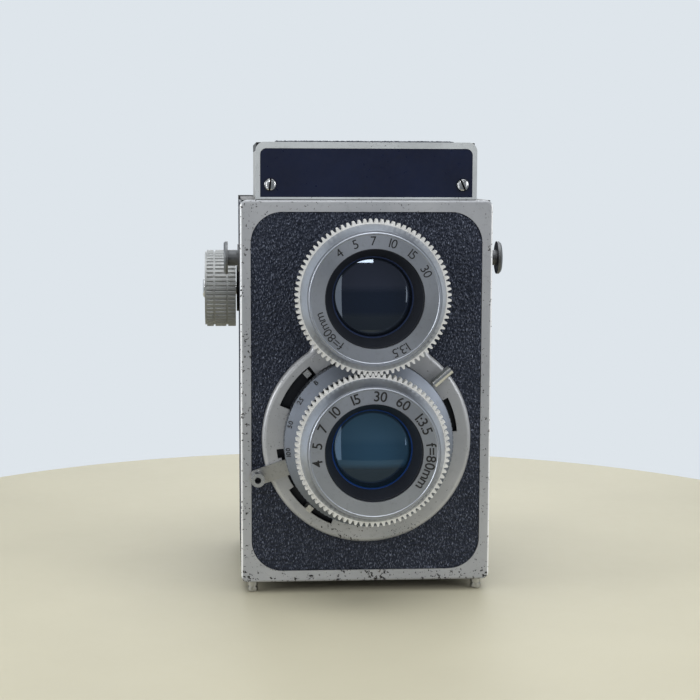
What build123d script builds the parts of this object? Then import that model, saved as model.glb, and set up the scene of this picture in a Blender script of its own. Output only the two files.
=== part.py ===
from build123d import *
import os
from math import cos, radians, sin

# Twin lens reflex camera for 6 x 6 cm pictures on 120 roll film, with geared focusing rings.
# Millimetres, +Z up. The lenses look along -Y, and +X is to the right as one faces them.
# The origin is the mouth of the tripod socket, in the middle of the body's underside.
# "Depth" is measured backwards from the front face, and "height" h forwards from it.

# Body
BODY_W = 72.0
BODY_H = 110.0
BODY_D = 71.0
PANEL_T = 2.0
PANEL_CORNER_R = 2.0
PANEL_EDGE_R = 0.7
LEATHER_T = 0.6
LEATHER_BORDER = 3.0
LEATHER_BORDER_Z = 3.3
LEATHER_CORNER_R = 9.0
LEATHER_GROOVE = 0.1
SIDE_WALL = 2.15
FLOOR_T = 1.8
DECK_T = 2.5
BACK_ZONE = 5.0
SIDE_LEATHER_MARGIN = 1.0

# Clearances
FIT = 0.08
RUN = 0.3
LEVER_RUN = 0.1

# Film path
GATE_SIZE = 56.0
GATE_T = 2.5
GATE_MARGIN = 1.2
CONE_T = 0.8
CONE_FRONT_DEPTH = 24.0
CONE_FRONT_HALF = 16.5
SPOOL_R = 12.5
SPOOL_CORE_R = 5.8
SPOOL_FLANGE_T = 0.8
SPOOL_HOLE_R = 2.3
SPOOL_PIN_REACH = 5.0
SPOOL_KEY_REACH = 7.0
TAKEUP_BEHIND_FILM = 11.5
TAKEUP_Z = 81.3
ROLLER_R = 3.0
ROLLER_STUB_R = 1.0
ROLLER_STUB = 1.4
ROLLER_Z = 9.3
ROLLER_SETBACK = 0.5

# Lenses and focusing gear
TAKE_Z = 42.0
GEAR_MODULE = 0.5
GEAR_TEETH = 84
GEAR_ADDENDUM = 0.35
GEAR_DEDENDUM = 0.7
TOOTH_ROOT_SHARE = 0.36
TOOTH_TIP_SHARE = 0.14
GEAR_BACK_H = 17.5
GEAR_T = 3.5
BEZEL_R = 17.9
BEZEL_FRONT_H = 25.8
BEZEL_EDGE = 0.2
BEZEL_STEP = 0.4
BEZEL_RECESS = 0.15
BEZEL_RIM_W = 0.6
BEZEL_WALL = 1.8
BEZEL_FACE_T = 1.2
OPENING_R = 13.5
GLASS_R = 12.9
GLASS_CLEAR_R = 11.2
GLASS_RIM_T = 1.5
GLASS_DOME = 1.6
SLEEVE_R = 15.1
SLEEVE_BORE_R = 11.6
SLEEVE_BACK_H = 4.0
SHOULDER_R = 16.4
SHOULDER_T = 1.1
RETAINER_FLANGE_R = 15.8
RETAINER_FLANGE_T = 1.0
RETAINER_RIM_R = 14.0
RETAINER_SKIRT = 2.2
RETAINER_LIP = 0.8
MOUNT_FLOOR_H = 3.0
MOUNT_FLOOR_T = 1.6
MOUNT_TOP_H = 12.0
MOUNT_R = 19.0
MOUNT_LIP_R = 20.0
MOUNT_LIP_T = 0.9
MOUNT_EDGE = 0.5
MOUNT_NECK_R = 16.95
MOUNT_BACK_H = -5.0
MOUNT_TUBE_R = 13.0
SHUTTER_OPENING_R = 10.5
REAR_GLASS_T = 2.0
REAR_GLASS_DOME = 1.0
REAR_GLASS_CLEAR_R = 12.2

# Shutter front
PLATE_R = 30.0
PLATE_H = 2.2
PLATE_SKIN = 1.0
PLATE_RIM = 2.5
PLATE_EDGE_R = 1.3
NECK_LEFT = 15.8
NECK_RIGHT = 17.3
NECK_TOP_Z = 75.0
NECK_FILLET_R = 3.0
CORNER_TOLERANCE = 0.01
SPEED_RING_R = 24.0
SPEED_RING_H = 10.8
SPEED_RING_BACK_H = 3.6
SPEED_RING_BEVEL = 2.2
SPEED_RING_KNURLS = 116
KNURL_DEPTH = 0.2
KNURL_LAND_SHARE = 0.27
LEVER_T = 0.4
LEVER_RING_W = 2.2
LEVER_TIP_W = 1.8
APERTURE_SLOT = (23.2, 26.6, 213.0, 247.5)
APERTURE_ANGLE = 229.0
APERTURE_TIP_H = 6.5
APERTURE_LEVEL_H = -0.4
DELAY_SLOT = (22.6, 26.8, 128.0, 158.5)
DELAY_ANGLE = 132.0
DELAY_TIP_H = 3.3
DELAY_LEVEL_H = 0.4
NOTCH_SLOT = (23.2, 26.0, 186.0, 192.0)
RELEASE_SLOT = (23.2, 25.0, 191.0, 214.0)
RIGHT_SLOT = (23.4, 26.0, 4.5, 27.0)
RELEASE_ANGLE = 198.7
RELEASE_REACH = 33.0
RELEASE_T = 0.8
RELEASE_LEVEL_H = 2.5
RELEASE_ARM_W = 4.6
BUTTON_R = 1.95
BUTTON_BORE_R = 0.9
BUTTON_TOP_H = 8.0
SYNC_ANGLE = 41.0
SYNC_R = 1.45
SYNC_BORE_R = 1.0
SYNC_PIN_R = 0.4
SYNC_H = 5.0
SYNC_LENGTH = 6.5
SYNC_SADDLE_L = 3.8
COVER_ANGLE = 120.0
COVER_R = 26.4
COVER_SIZE = (4.4, 5.0)
COVER_CORNER_R = 1.4
COVER_TOP_H = 4.4
BLADES = 5
BLADE_R = 12.6
BLADE_T = 0.2
BLADE_GAP_DEG = 0.8

# Winding knob
KNOB_R = 12.05
KNOB_INNER_X = 37.0
KNOB_OUTER_X = 46.6
KNOB_GROOVES_X = (39.7, 43.7)
KNOB_GROOVE_W = 0.6
KNOB_GROOVE_DEPTH = 0.5
KNOB_KNURLS = 54
KNOB_KNURL_DEPTH = 0.32
KNURL_CUTTER = 1.0
KNOB_EDGE_R = 0.6
KNOB_BASE_R = 7.3
SHAFT_R = 2.0
SHAFT_KEY_T = 1.4
SHAFT_KEY_HALF = 3.6
SHAFT_KEY_L = 2.0
KNOB_SCREW_R = 3.0
KNOB_SCREW_DOME = 0.7

# Fittings
LUG_DEPTH = 14.5
LUG_Z = 93.0
LUG_NECK_R = 2.25
LUG_FLANGE_R = 4.8
LUG_FLANGE_T = 1.2
LUG_BASE_R = 4.0
LUG_BASE_T = 0.6
LUG_REACH = 4.6
LUG_ROOT = 1.0
LUG_HEAD_EDGE = 0.5
FOOT_R = 1.5
FOOT_H = 3.4
FOOT_X = 32.7
FOOT_DEPTHS = (3.7, 62.5)
FOOT_ROOT = 1.0
FOOT_EDGE = 0.4
FOOT_GROOVE_Z = 1.5
FOOT_GROOVE_W = 0.5
FOOT_GROOVE_DEPTH = 0.3
SOCKET_R = 2.55
SOCKET_DEPTH = 7.0
SOCKET_WALL_R = 6.0
SOCKET_CAP_T = 1.2

# Hood
HOOD_X = 31.2
HOOD_FRONT_DEPTH = 2.6
HOOD_BACK_MARGIN = 1.0
HOOD_WALL = 0.8
HOOD_H = 14.0
SCREEN_OPENING_X = 27.0
SCREEN_OPENING_MARGIN = 8.5
SCREEN_T = 1.5
SCREEN_LAP = 1.5
MIRROR_T = 1.5
MIRROR_TILT = 45
MIRROR_W = 54.0
MIRROR_REACH = 30.0
MIRROR_LEDGE = 4.0
MIRROR_LEDGE_T = 0.9
NAMEPLATE_X = 31.5
NAMEPLATE_FOOT = 0.2
NAMEPLATE_H = 16.1
NAMEPLATE_CORNER_R = 2.5
NAMEPLATE_T = 0.6
ENAMEL_X = 30.2
ENAMEL_FOOT = 0.8
ENAMEL_H = 13.7
ENAMEL_CORNER_R = 1.8
ENAMEL_T = 0.3
NAME_SCREW_X = 27.4
NAME_SCREW_Z = 4.3
NAME_SCREW_R = 1.75
NAME_SCREW_H = 0.8
NAME_SLOT_W = 0.4
NAME_SHANK_R = 0.9
LID_AXIS_DEPTH = 4.9
LID_AXIS_RISE = 14.9
LID_UNDER_RISE = 15.4
LID_T = 0.8
LID_LEATHER_T = 0.6
LID_LEATHER_X = 25.5
LID_LEATHER_MARGIN = 3.1
LID_FRONT_OVERHANG = 1.1
LID_BARREL_R = 1.1
LID_PIN_R = 0.5
LID_KNUCKLE_X = 12.0
LID_KNUCKLE_W = 4.0
FLAP_T = 0.5
FLAP_GAP = 0.2
FLAP_BARREL_R = 0.9
FLAP_PIN_R = 0.4
FLAP_AXIS_X = 29.4
SIDE_FLAP_RISE = 7.5
SIDE_FLAP_REACH = 27.5
REAR_FLAP_RISE = 5.5
REAR_FLAP_REACH = 24.0
REAR_FLAP_X = 27.0
FLAP_BARREL_MARGIN = 3.5
MAG_AXIS = 30.0
MAG_AXIS_DROP = 1.9
MAG_X = 12.8
MAG_CORNER_R = 5.0
MAG_REACH = 15.5
MAG_T = 1.4
MAG_LENS_R = 9.8
MAG_LENS_EDGE = 1.0
MAG_LENS_DOME = 0.9
MAG_BARREL_R = 1.0
MAG_PIN_R = 0.5
MAG_EAR_T = 0.8

# Back cover
COVER_GAP = 0.2
COVER_WALL = 1.2
COVER_RIM = 2.0
COVER_EDGE_R = 1.2
COVER_FOOT_Z = 0.4
COVER_TOP_GAP = 4.0
HINGE_DEPTH_BEHIND_FILM = 2.2
HINGE_DROP = 1.6
HINGE_R = 2.0
HINGE_PIN_R = 0.8
HINGE_KNUCKLE_X = 26.8
HINGE_KNUCKLE_GAP = 0.2
HINGE_WEB = 1.2
BACK_LEATHER_BORDER = 2.2
PRESSURE_SIZE = (58.0, 60.0)
PRESSURE_T = 1.0
PRESSURE_GAP = 0.3
SPRING_T = 0.3
SPRING_W = 8.0
SPRING_X = 14.0
SPRING_HALF_L = 22.0
SPRING_PAD = 3.0
WINDOW_Z = 28.0
WINDOW_R = 5.0
WINDOW_GLASS_T = 1.0
SLIDE_L = 17.0
SLIDE_T = 0.6
SLIDE_RAIL = 1.4
SLIDE_LIP = 0.7
SLIDE_LIP_T = 0.4
SLIDE_GRIP_W = 2.0
SLIDE_RIB_W = 1.0
SLIDE_GRIP_T = 0.6
SLIDE_GRIP_HALF_H = 3.0
FRAME_LEFT = 9.0
FRAME_RIGHT = 21.0
FRAME_HALF_H = 7.2
FRAME_T = 0.8
LATCH_W = 14.0
LATCH_T = 1.0
LATCH_REACH = 7.0
LATCH_RISE = 9.0
LATCH_TRAVEL = 4.0
LATCH_DROP = 0.3
LATCH_STUD_X = 4.0
LATCH_STUD_Z = 5.0
LATCH_STUD_R = 0.8
LATCH_HEAD_R = 1.5
LATCH_HEAD_T = 0.5

# Values that follow from the ones above
FRONT_Y = -BODY_D / 2
FILM_D = BODY_D - BACK_ZONE
CAST_X = BODY_W / 2 - LEATHER_T
CHAMBER_X = CAST_X - SIDE_WALL
CHAMBER_TOP_Z = BODY_H - DECK_T
TAKEUP_D = FILM_D - TAKEUP_BEHIND_FILM
SUPPLY_D = PANEL_T + RUN + SPOOL_R
SUPPLY_Z = FLOOR_T + RUN + SPOOL_R
ROLLER_D = FILM_D - ROLLER_SETBACK - ROLLER_R
SPOOL_X = CHAMBER_X - RUN
GEAR_CENTRES = GEAR_MODULE * GEAR_TEETH
VIEW_Z = TAKE_Z + GEAR_CENTRES
VIEW_MOUNT_R = GEAR_CENTRES - SPEED_RING_R - RUN
VIEW_MOUNT_LIP_R = VIEW_MOUNT_R - MOUNT_EDGE
GEAR_TIP_R = GEAR_CENTRES / 2 + GEAR_ADDENDUM
GEAR_ROOT_R = GEAR_CENTRES / 2 - GEAR_DEDENDUM
GEAR_FRONT_H = GEAR_BACK_H + GEAR_T
SKIRT_R = GEAR_ROOT_R - RUN
SLEEVE_FRONT_H = GEAR_FRONT_H + FIT * 2
GLASS_RIM_H = SLEEVE_FRONT_H - RETAINER_SKIRT
GLASS_BACK_H = GLASS_RIM_H - GLASS_RIM_T
RECESS_H = -LEATHER_T - LEATHER_GROOVE
RETAINER_FRONT_H = BEZEL_FRONT_H - BEZEL_FACE_T - RUN
HOLE_R = MOUNT_NECK_R + FIT
LEVER_BORE_R = MOUNT_NECK_R + LEVER_RUN
HOOD_BACK_D = FILM_D - HOOD_BACK_MARGIN
NAMEPLATE_DEPTH = HOOD_FRONT_DEPTH - NAMEPLATE_T + LEATHER_GROOVE
SCREEN_FRONT_D = SCREEN_OPENING_MARGIN
SCREEN_BACK_D = BODY_D - SCREEN_OPENING_MARGIN
SCREEN_D = (SCREEN_FRONT_D + SCREEN_BACK_D) / 2
HINGE_D = FILM_D + HINGE_DEPTH_BEHIND_FILM
HINGE_Z = BODY_H - HINGE_DROP
COVER_TOP_Z = BODY_H - COVER_TOP_GAP
COVER_OUT_D = BODY_D - LEATHER_T
COVER_IN_D = FILM_D + COVER_GAP
LID_AXIS_Z = BODY_H + LID_AXIS_RISE
LID_UNDER_Z = BODY_H + LID_UNDER_RISE
FLAP_Z = BODY_H + SIDE_FLAP_RISE
REAR_FLAP_Z = BODY_H + REAR_FLAP_RISE
REAR_FLAP_D = HOOD_BACK_D - HOOD_WALL - FLAP_BARREL_R - FLAP_GAP
MAG_D = LID_AXIS_DEPTH + MAG_AXIS
MAG_Z = LID_UNDER_Z - MAG_AXIS_DROP


def block(x_range, depth_range, z_range):
    """Make a box from its X range, its depth range and its Z range."""
    size = (x_range[1] - x_range[0], depth_range[1] - depth_range[0], z_range[1] - z_range[0])
    middle = (sum(x_range) / 2, FRONT_Y + sum(depth_range) / 2, sum(z_range) / 2)
    return Pos(*middle) * Box(*size)


def bar_x(radius, x_range, depth, z):
    """Make a round bar along X."""
    turn = Pos(sum(x_range) / 2, FRONT_Y + depth, z) * Rot(0, 90, 0)
    return turn * Cylinder(radius, x_range[1] - x_range[0])


def bar_y(radius, depth_range, x, z):
    """Make a round bar along Y."""
    turn = Pos(x, FRONT_Y + sum(depth_range) / 2, z) * Rot(90, 0, 0)
    return turn * Cylinder(radius, depth_range[1] - depth_range[0])


def post_z(radius, z_range, x, depth):
    """Make a round bar along Z."""
    return Pos(x, FRONT_Y + depth, sum(z_range) / 2) * Cylinder(radius, z_range[1] - z_range[0])


def front_plane(height, z=0.0):
    """Give the plane that faces the front: its x is X, its y is Z, and it extrudes towards -Y."""
    return Plane(origin=(0, FRONT_Y - height, z), x_dir=(1, 0, 0), z_dir=(0, -1, 0))


def slab(face, heights, z=0.0):
    """Extrude a face drawn on the front between two heights, with its origin at (0, z)."""
    return extrude(front_plane(heights[0], z) * face, amount=heights[1] - heights[0])


def turned(profile, z):
    """Revolve a closed (radius, height) profile about the lens axis at z."""
    outline = Polyline(*[(radius, FRONT_Y - height) for radius, height in profile], close=True)
    return Pos(0, 0, z) * revolve(make_face(outline), Axis.Y)


def domed(rim_r, dome_r, back_h, rim_h, dome, z):
    """Make a plano-convex glass with a flat back and a rim, about the lens axis at z."""
    curve_r = (dome_r ** 2 + dome ** 2) / (2 * dome)
    ball = Pos(0, FRONT_Y - rim_h - dome + curve_r, z) * Sphere(curve_r)
    crown = slab(Circle(dome_r), (back_h, rim_h + dome), z) & ball
    return slab(Circle(rim_r), (back_h, rim_h), z) + crown


def ring_x(outer_r, bore_r, x_range, depth, z):
    """Make a tube along X."""
    return bar_x(outer_r, x_range, depth, z) - bar_x(bore_r, x_range, depth, z)


def polar(radius, angle):
    """Give a point of a circle at an angle in degrees."""
    return (radius * cos(radians(angle)), radius * sin(radians(angle)))


def wheel(radius, depth, count):
    """Draw a circle whose edge has count small lands with grooves of a given depth between them."""
    step = 360 / count
    points = []
    for number in range(count):
        points.append(polar(radius, (number - KNURL_LAND_SHARE) * step))
        points.append(polar(radius, (number + KNURL_LAND_SHARE) * step))
        points.append(polar(radius - depth, (number + 0.5) * step))
    return make_face(Polyline(*points, close=True))


def save(name, shape):
    """Write one node."""
    export_step(shape, os.path.join("parts", name + ".step"))


def save_group(name, shapes):
    """Write several separate solids as one node."""
    save(name, Compound(children=[solid for shape in shapes for solid in shape.solids()]))


def mirrored_pair(shape):
    """Give a shape and its mirror image across the middle of the camera."""
    return [shape, mirror(shape, about=Plane.YZ)]


def spool_pin_bars():
    """Make the three fixed pins that carry the spools: two on the right side and one on the left."""
    radius = SPOOL_HOLE_R - FIT
    right = (SPOOL_X - SPOOL_PIN_REACH, CAST_X - LUG_ROOT)
    left = (-right[1], -right[0])
    return [bar_x(radius, right, TAKEUP_D, TAKEUP_Z),
            bar_x(radius, right, SUPPLY_D, SUPPLY_Z),
            bar_x(radius, left, SUPPLY_D, SUPPLY_Z)]


def feet():
    """Make the four round feet, each with a root in the floor."""
    pegs = []
    for x in (-FOOT_X, FOOT_X):
        for depth in FOOT_DEPTHS:
            peg = post_z(FOOT_R, (-FOOT_H, FOOT_ROOT), x, depth)
            groove_z = (-FOOT_GROOVE_Z - FOOT_GROOVE_W, -FOOT_GROOVE_Z)
            peg -= post_z(FOOT_R, groove_z, x, depth)
            peg += post_z(FOOT_R - FOOT_GROOVE_DEPTH, groove_z, x, depth)
            pegs.append(chamfer(peg.edges().sort_by(Axis.Z)[0], FOOT_EDGE))
    return pegs


def strap_lugs():
    """Make the spool-shaped strap lugs, one on each side."""
    face = BODY_W / 2
    rim = face + LUG_REACH
    lug = bar_x(LUG_NECK_R, (CAST_X - LUG_ROOT, rim - LUG_FLANGE_T), LUG_DEPTH, LUG_Z)
    lug += bar_x(LUG_BASE_R, (CAST_X, face + LUG_BASE_T), LUG_DEPTH, LUG_Z)
    head = bar_x(LUG_FLANGE_R, (rim - LUG_FLANGE_T, rim), LUG_DEPTH, LUG_Z)
    lug += chamfer(head.edges().sort_by(Axis.X)[-1], LUG_HEAD_EDGE)
    return mirrored_pair(lug)


def mirror_plate(width, thickness, below):
    """Make a 45 degree plate whose top lies a given distance below the reflecting plane."""
    plate = Pos(0, 0, -below - thickness / 2) * Box(width, 2 * MIRROR_REACH, thickness)
    return Pos(0, FRONT_Y + SCREEN_D, VIEW_Z) * Rot(MIRROR_TILT, 0, 0) * plate


def body_casting():
    """Make the die-cast body: walls, floor, deck, film gate, mirror ledges and hinge lugs."""
    depths = (PANEL_T, FILM_D)
    body = block((-CAST_X, CAST_X), depths, (0, BODY_H))
    body -= block((-CHAMBER_X, CHAMBER_X), depths, (FLOOR_T, CHAMBER_TOP_Z))
    body -= block((-SCREEN_OPENING_X, SCREEN_OPENING_X), (SCREEN_FRONT_D, SCREEN_BACK_D),
                  (CHAMBER_TOP_Z, BODY_H))
    half = GATE_SIZE / 2
    edge = half + GATE_MARGIN
    gate_depths = (FILM_D - GATE_T, FILM_D)
    body += block((-CHAMBER_X, CHAMBER_X), gate_depths, (TAKE_Z - edge, TAKE_Z + edge))
    body -= block((-half, half), gate_depths, (TAKE_Z - half, TAKE_Z + half))
    ledge = mirror_plate(2 * CHAMBER_X, MIRROR_LEDGE_T, MIRROR_T)
    inner_x = MIRROR_W / 2 - MIRROR_LEDGE
    ledge -= block((-inner_x, inner_x), (0, BODY_D), (0, BODY_H))
    body += ledge
    for side in (-1, 1):
        inner = HINGE_KNUCKLE_X + HINGE_KNUCKLE_GAP
        lug_x = sorted((side * inner, side * BODY_W / 2))
        web_x = sorted((side * inner, side * CAST_X))
        body += bar_x(HINGE_R, lug_x, HINGE_D, HINGE_Z)
        body += block(web_x, (FILM_D - HINGE_WEB, HINGE_D), (HINGE_Z - HINGE_WEB, HINGE_Z + HINGE_WEB))
    body -= bar_x(HINGE_PIN_R, (-BODY_W / 2, BODY_W / 2), HINGE_D, HINGE_Z)
    stub_x = CHAMBER_X + ROLLER_STUB + FIT
    body -= bar_x(ROLLER_STUB_R + FIT, (-stub_x, stub_x), ROLLER_D, ROLLER_Z)
    body -= bar_x(SHAFT_R + FIT, (-CAST_X, -CHAMBER_X), TAKEUP_D, TAKEUP_Z)
    body -= post_z(SOCKET_WALL_R, (0, FLOOR_T), 0, BODY_D / 2)
    for piece in spool_pin_bars() + feet() + strap_lugs():
        body -= piece
    return body


def tripod_bush():
    """Make the threaded bush of the tripod socket, closed at its top."""
    bush = post_z(SOCKET_WALL_R, (0, SOCKET_DEPTH + SOCKET_CAP_T), 0, BODY_D / 2)
    return bush - post_z(SOCKET_R, (0, SOCKET_DEPTH), 0, BODY_D / 2)


def leather_face(gap):
    """Draw the front leather's outline, a gap inside its recess."""
    width = BODY_W - 2 * LEATHER_BORDER - 2 * gap
    height = BODY_H - 2 * LEATHER_BORDER_Z - 2 * gap
    return Pos(0, BODY_H / 2) * RectangleRounded(width, height, LEATHER_CORNER_R - gap)


def front_panel():
    """Make the painted front panel, with the leather's recess and the two lens holes."""
    outline = Pos(0, BODY_H / 2) * RectangleRounded(BODY_W, BODY_H, PANEL_CORNER_R)
    panel = slab(outline, (-PANEL_T, 0))
    panel = fillet(panel.faces().sort_by(Axis.Y)[0].edges(), PANEL_EDGE_R)
    panel -= slab(leather_face(0), (RECESS_H, 0))
    for z in (TAKE_Z, VIEW_Z):
        panel -= slab(Circle(HOLE_R), (-PANEL_T, 0), z)
    return panel


def plate_face(gap=0.0):
    """Draw the keyhole-shaped shutter plate about the taking axis, grown by a gap."""
    radius = PLATE_R + gap
    left = NECK_LEFT + gap
    right = NECK_RIGHT + gap
    top = NECK_TOP_Z - TAKE_Z + gap
    neck = Pos((right - left) / 2, top / 2) * Rectangle(left + right, top)
    face = Circle(radius) + neck
    corners = [point for point in face.vertices() if abs(Vector(point).length - radius) < CORNER_TOLERANCE]
    return fillet(corners, NECK_FILLET_R - gap)


def front_leather():
    """Make the front leather, cut round the shutter plate and the viewing mount."""
    face = leather_face(LEATHER_GROOVE)
    face -= Pos(0, TAKE_Z) * plate_face(LEATHER_GROOVE)
    face -= Pos(0, VIEW_Z) * Circle(VIEW_MOUNT_R + LEATHER_GROOVE)
    return slab(face, (RECESS_H, RECESS_H + LEATHER_T))


def arc_slot(inner, outer, start, end):
    """Draw a curved slot about the taking axis, between two radii and two angles, with straight ends."""
    corners = [polar(2 * outer, angle) for angle in (start, (start + end) / 2, end)]
    wedge = Polygon((0, 0), *corners, align=None)
    return (Circle(outer) - Circle(inner)) & wedge


def shutter_plate():
    """Make the hollow keyhole plate with its curved slots and the raised slot cover."""
    plate = slab(plate_face(), (RECESS_H, PLATE_H), TAKE_Z)
    plate = fillet(plate.faces().sort_by(Axis.Y)[0].edges(), PLATE_EDGE_R)
    cover = Rot(0, 0, COVER_ANGLE) * Pos(COVER_R, 0) * RectangleRounded(*COVER_SIZE, COVER_CORNER_R)
    plate += slab(cover, (PLATE_H, COVER_TOP_H), TAKE_Z)
    plate -= slab(Circle(VIEW_MOUNT_R + FIT), (RECESS_H, COVER_TOP_H), VIEW_Z)
    plate -= slab(Circle(HOLE_R), (RECESS_H, PLATE_H), TAKE_Z)
    plate -= slab(Circle(PLATE_R - PLATE_RIM), (RECESS_H, PLATE_H - PLATE_SKIN), TAKE_Z)
    for slot in (APERTURE_SLOT, DELAY_SLOT, NOTCH_SLOT, RELEASE_SLOT, RIGHT_SLOT):
        plate -= slab(arc_slot(*slot), (RECESS_H, PLATE_H), TAKE_Z)
    return plate


def mount(seat_h, opening_r, flange_r, lip_r, z):
    """Make a lens mount: its flange sits at a height, and its floor has an opening."""
    bore = SLEEVE_R + FIT
    floor_back = MOUNT_FLOOR_H - MOUNT_FLOOR_T
    lip_back = MOUNT_TOP_H - MOUNT_LIP_T
    profile = [(opening_r, MOUNT_FLOOR_H), (bore, MOUNT_FLOOR_H), (bore, MOUNT_TOP_H),
               (lip_r, MOUNT_TOP_H), (lip_r, lip_back), (flange_r, lip_back),
               (flange_r, seat_h), (MOUNT_NECK_R, seat_h), (MOUNT_NECK_R, MOUNT_BACK_H),
               (MOUNT_TUBE_R, MOUNT_BACK_H), (MOUNT_TUBE_R, floor_back), (opening_r, floor_back)]
    return turned(profile, z)


def sleeve(z):
    """Make a focusing sleeve: it slides in the mount and carries the gear and the glass."""
    gap = 2 * FIT
    shoulder_front = GEAR_BACK_H - gap
    shoulder_back = shoulder_front - SHOULDER_T
    seat_r = GLASS_R + FIT
    profile = [(SLEEVE_BORE_R, SLEEVE_BACK_H), (SLEEVE_R, SLEEVE_BACK_H), (SLEEVE_R, shoulder_back),
               (SHOULDER_R, shoulder_back), (SHOULDER_R, shoulder_front), (SLEEVE_R, shoulder_front),
               (SLEEVE_R, SLEEVE_FRONT_H), (seat_r, SLEEVE_FRONT_H), (seat_r, GLASS_BACK_H),
               (SLEEVE_BORE_R, GLASS_BACK_H)]
    return turned(profile, z)


def retainer(z):
    """Make the black cone that screws into the sleeve, holds the glass and keeps the gear on."""
    flange_front = SLEEVE_FRONT_H + RETAINER_FLANGE_T
    profile = [(GLASS_CLEAR_R, GLASS_RIM_H), (GLASS_R, GLASS_RIM_H), (GLASS_R, SLEEVE_FRONT_H),
               (RETAINER_FLANGE_R, SLEEVE_FRONT_H), (RETAINER_FLANGE_R, flange_front),
               (RETAINER_RIM_R, flange_front), (RETAINER_RIM_R, RETAINER_FRONT_H),
               (OPENING_R - RUN, RETAINER_FRONT_H), (GLASS_CLEAR_R, GLASS_RIM_H + RETAINER_LIP)]
    return turned(profile, z)


def focus_gear(z, phase):
    """Make a focusing gear whose first tooth stands at a phase, in shares of the tooth pitch."""
    step = 360 / GEAR_TEETH
    corners = ((GEAR_ROOT_R, -TOOTH_ROOT_SHARE), (GEAR_TIP_R, -TOOTH_TIP_SHARE),
               (GEAR_TIP_R, TOOTH_TIP_SHARE), (GEAR_ROOT_R, TOOTH_ROOT_SHARE))
    points = []
    for tooth in range(GEAR_TEETH):
        for radius, share in corners:
            points.append(polar(radius, 90 + (tooth + phase + share) * step))
    face = make_face(Polyline(*points, close=True)) - Circle(SLEEVE_R + FIT)
    return slab(face, (GEAR_BACK_H, GEAR_FRONT_H), z)


def bezel(z):
    """Make the lettered ring that stands on a focusing gear."""
    inner = BEZEL_R - BEZEL_WALL
    face_back = BEZEL_FRONT_H - BEZEL_FACE_T
    step_h = BEZEL_FRONT_H - BEZEL_STEP
    text_h = BEZEL_FRONT_H - BEZEL_RECESS
    rim_r = BEZEL_R - BEZEL_RIM_W
    profile = [(OPENING_R, text_h), (rim_r, text_h), (rim_r + BEZEL_RECESS, BEZEL_FRONT_H),
               (BEZEL_R - BEZEL_EDGE, BEZEL_FRONT_H),
               (BEZEL_R, BEZEL_FRONT_H - BEZEL_EDGE), (BEZEL_R, step_h), (BEZEL_R + BEZEL_STEP, step_h),
               (SKIRT_R, GEAR_FRONT_H), (inner, GEAR_FRONT_H), (inner, face_back), (OPENING_R, face_back)]
    return turned(profile, z)


def speed_ring():
    """Make the knurled shutter speed ring with its sloping front face."""
    bore = MOUNT_R + FIT
    shoulder = SPEED_RING_H - SPEED_RING_BEVEL
    face = wheel(SPEED_RING_R, KNURL_DEPTH, SPEED_RING_KNURLS) - Circle(bore)
    ring = slab(face, (SPEED_RING_BACK_H, shoulder), TAKE_Z)
    profile = [(bore, shoulder), (SPEED_RING_R - KNURL_DEPTH, shoulder),
               (MOUNT_LIP_R + FIT, SPEED_RING_H), (bore, SPEED_RING_H)]
    return ring + turned(profile, TAKE_Z)


def lever(bore, level, thickness, angle, reach, arm_width):
    """Make a flat lever that turns on a mount: a ring with one straight arm."""
    arm = Rot(0, 0, angle) * Pos((bore + reach) / 2, 0) * Rectangle(reach - bore, arm_width)
    face = Circle(bore + LEVER_RING_W) + arm - Circle(bore)
    return slab(face, (level, level + thickness), TAKE_Z)


def slot_lever(slot, angle, level, tip_h):
    """Make a lever that turns inside the shutter plate, with a tip that stands out of a slot."""
    reach = slot[1] - RUN
    arm = lever(LEVER_BORE_R, level, LEVER_T, angle, reach, LEVER_TIP_W)
    tip = Rot(0, 0, angle) * Pos(reach - LEVER_TIP_W / 2, 0) * Rectangle(LEVER_TIP_W, LEVER_TIP_W)
    return arm + slab(tip, (level, tip_h), TAKE_Z)


def release_lever():
    """Make the shutter release lever, which ends in a round boss."""
    arm = lever(MOUNT_R + LEVER_RUN, RELEASE_LEVEL_H, RELEASE_T, RELEASE_ANGLE, RELEASE_REACH,
                RELEASE_ARM_W)
    boss = Pos(*polar(RELEASE_REACH, RELEASE_ANGLE)) * Circle(RELEASE_ARM_W / 2)
    return arm + slab(boss, (RELEASE_LEVEL_H, RELEASE_LEVEL_H + RELEASE_T), TAKE_Z)


def release_button():
    """Make the hollow button on the end of the release lever."""
    ring = Pos(*polar(RELEASE_REACH, RELEASE_ANGLE)) * (Circle(BUTTON_R) - Circle(BUTTON_BORE_R))
    return slab(ring, (RELEASE_LEVEL_H + RELEASE_T, BUTTON_TOP_H), TAKE_Z)


def sync_post():
    """Make the radial flash socket: a tube on a saddle, and the contact pin inside it."""
    direction = (cos(radians(SYNC_ANGLE)), 0, sin(radians(SYNC_ANGLE)))
    along = Plane(origin=(0, FRONT_Y - SYNC_H, TAKE_Z), z_dir=direction)
    start = SPEED_RING_R + 2 * RUN
    middle = start + SYNC_LENGTH / 2
    saddle = Pos(start + SYNC_SADDLE_L / 2, 0) * Rectangle(SYNC_SADDLE_L, SYNC_R)
    saddle = Rot(0, 0, SYNC_ANGLE) * saddle
    tube = along * Pos(0, 0, middle) * Cylinder(SYNC_R, SYNC_LENGTH)
    tube += slab(saddle, (PLATE_H, SYNC_H), TAKE_Z)
    depth = SYNC_LENGTH - SYNC_R
    bore_middle = start + SYNC_LENGTH - depth / 2
    tube -= along * Pos(0, 0, bore_middle) * Cylinder(SYNC_BORE_R, depth)
    pin = along * Pos(0, 0, bore_middle - SYNC_PIN_R / 2) * Cylinder(SYNC_PIN_R, depth - SYNC_PIN_R)
    return [tube, pin]


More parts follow.
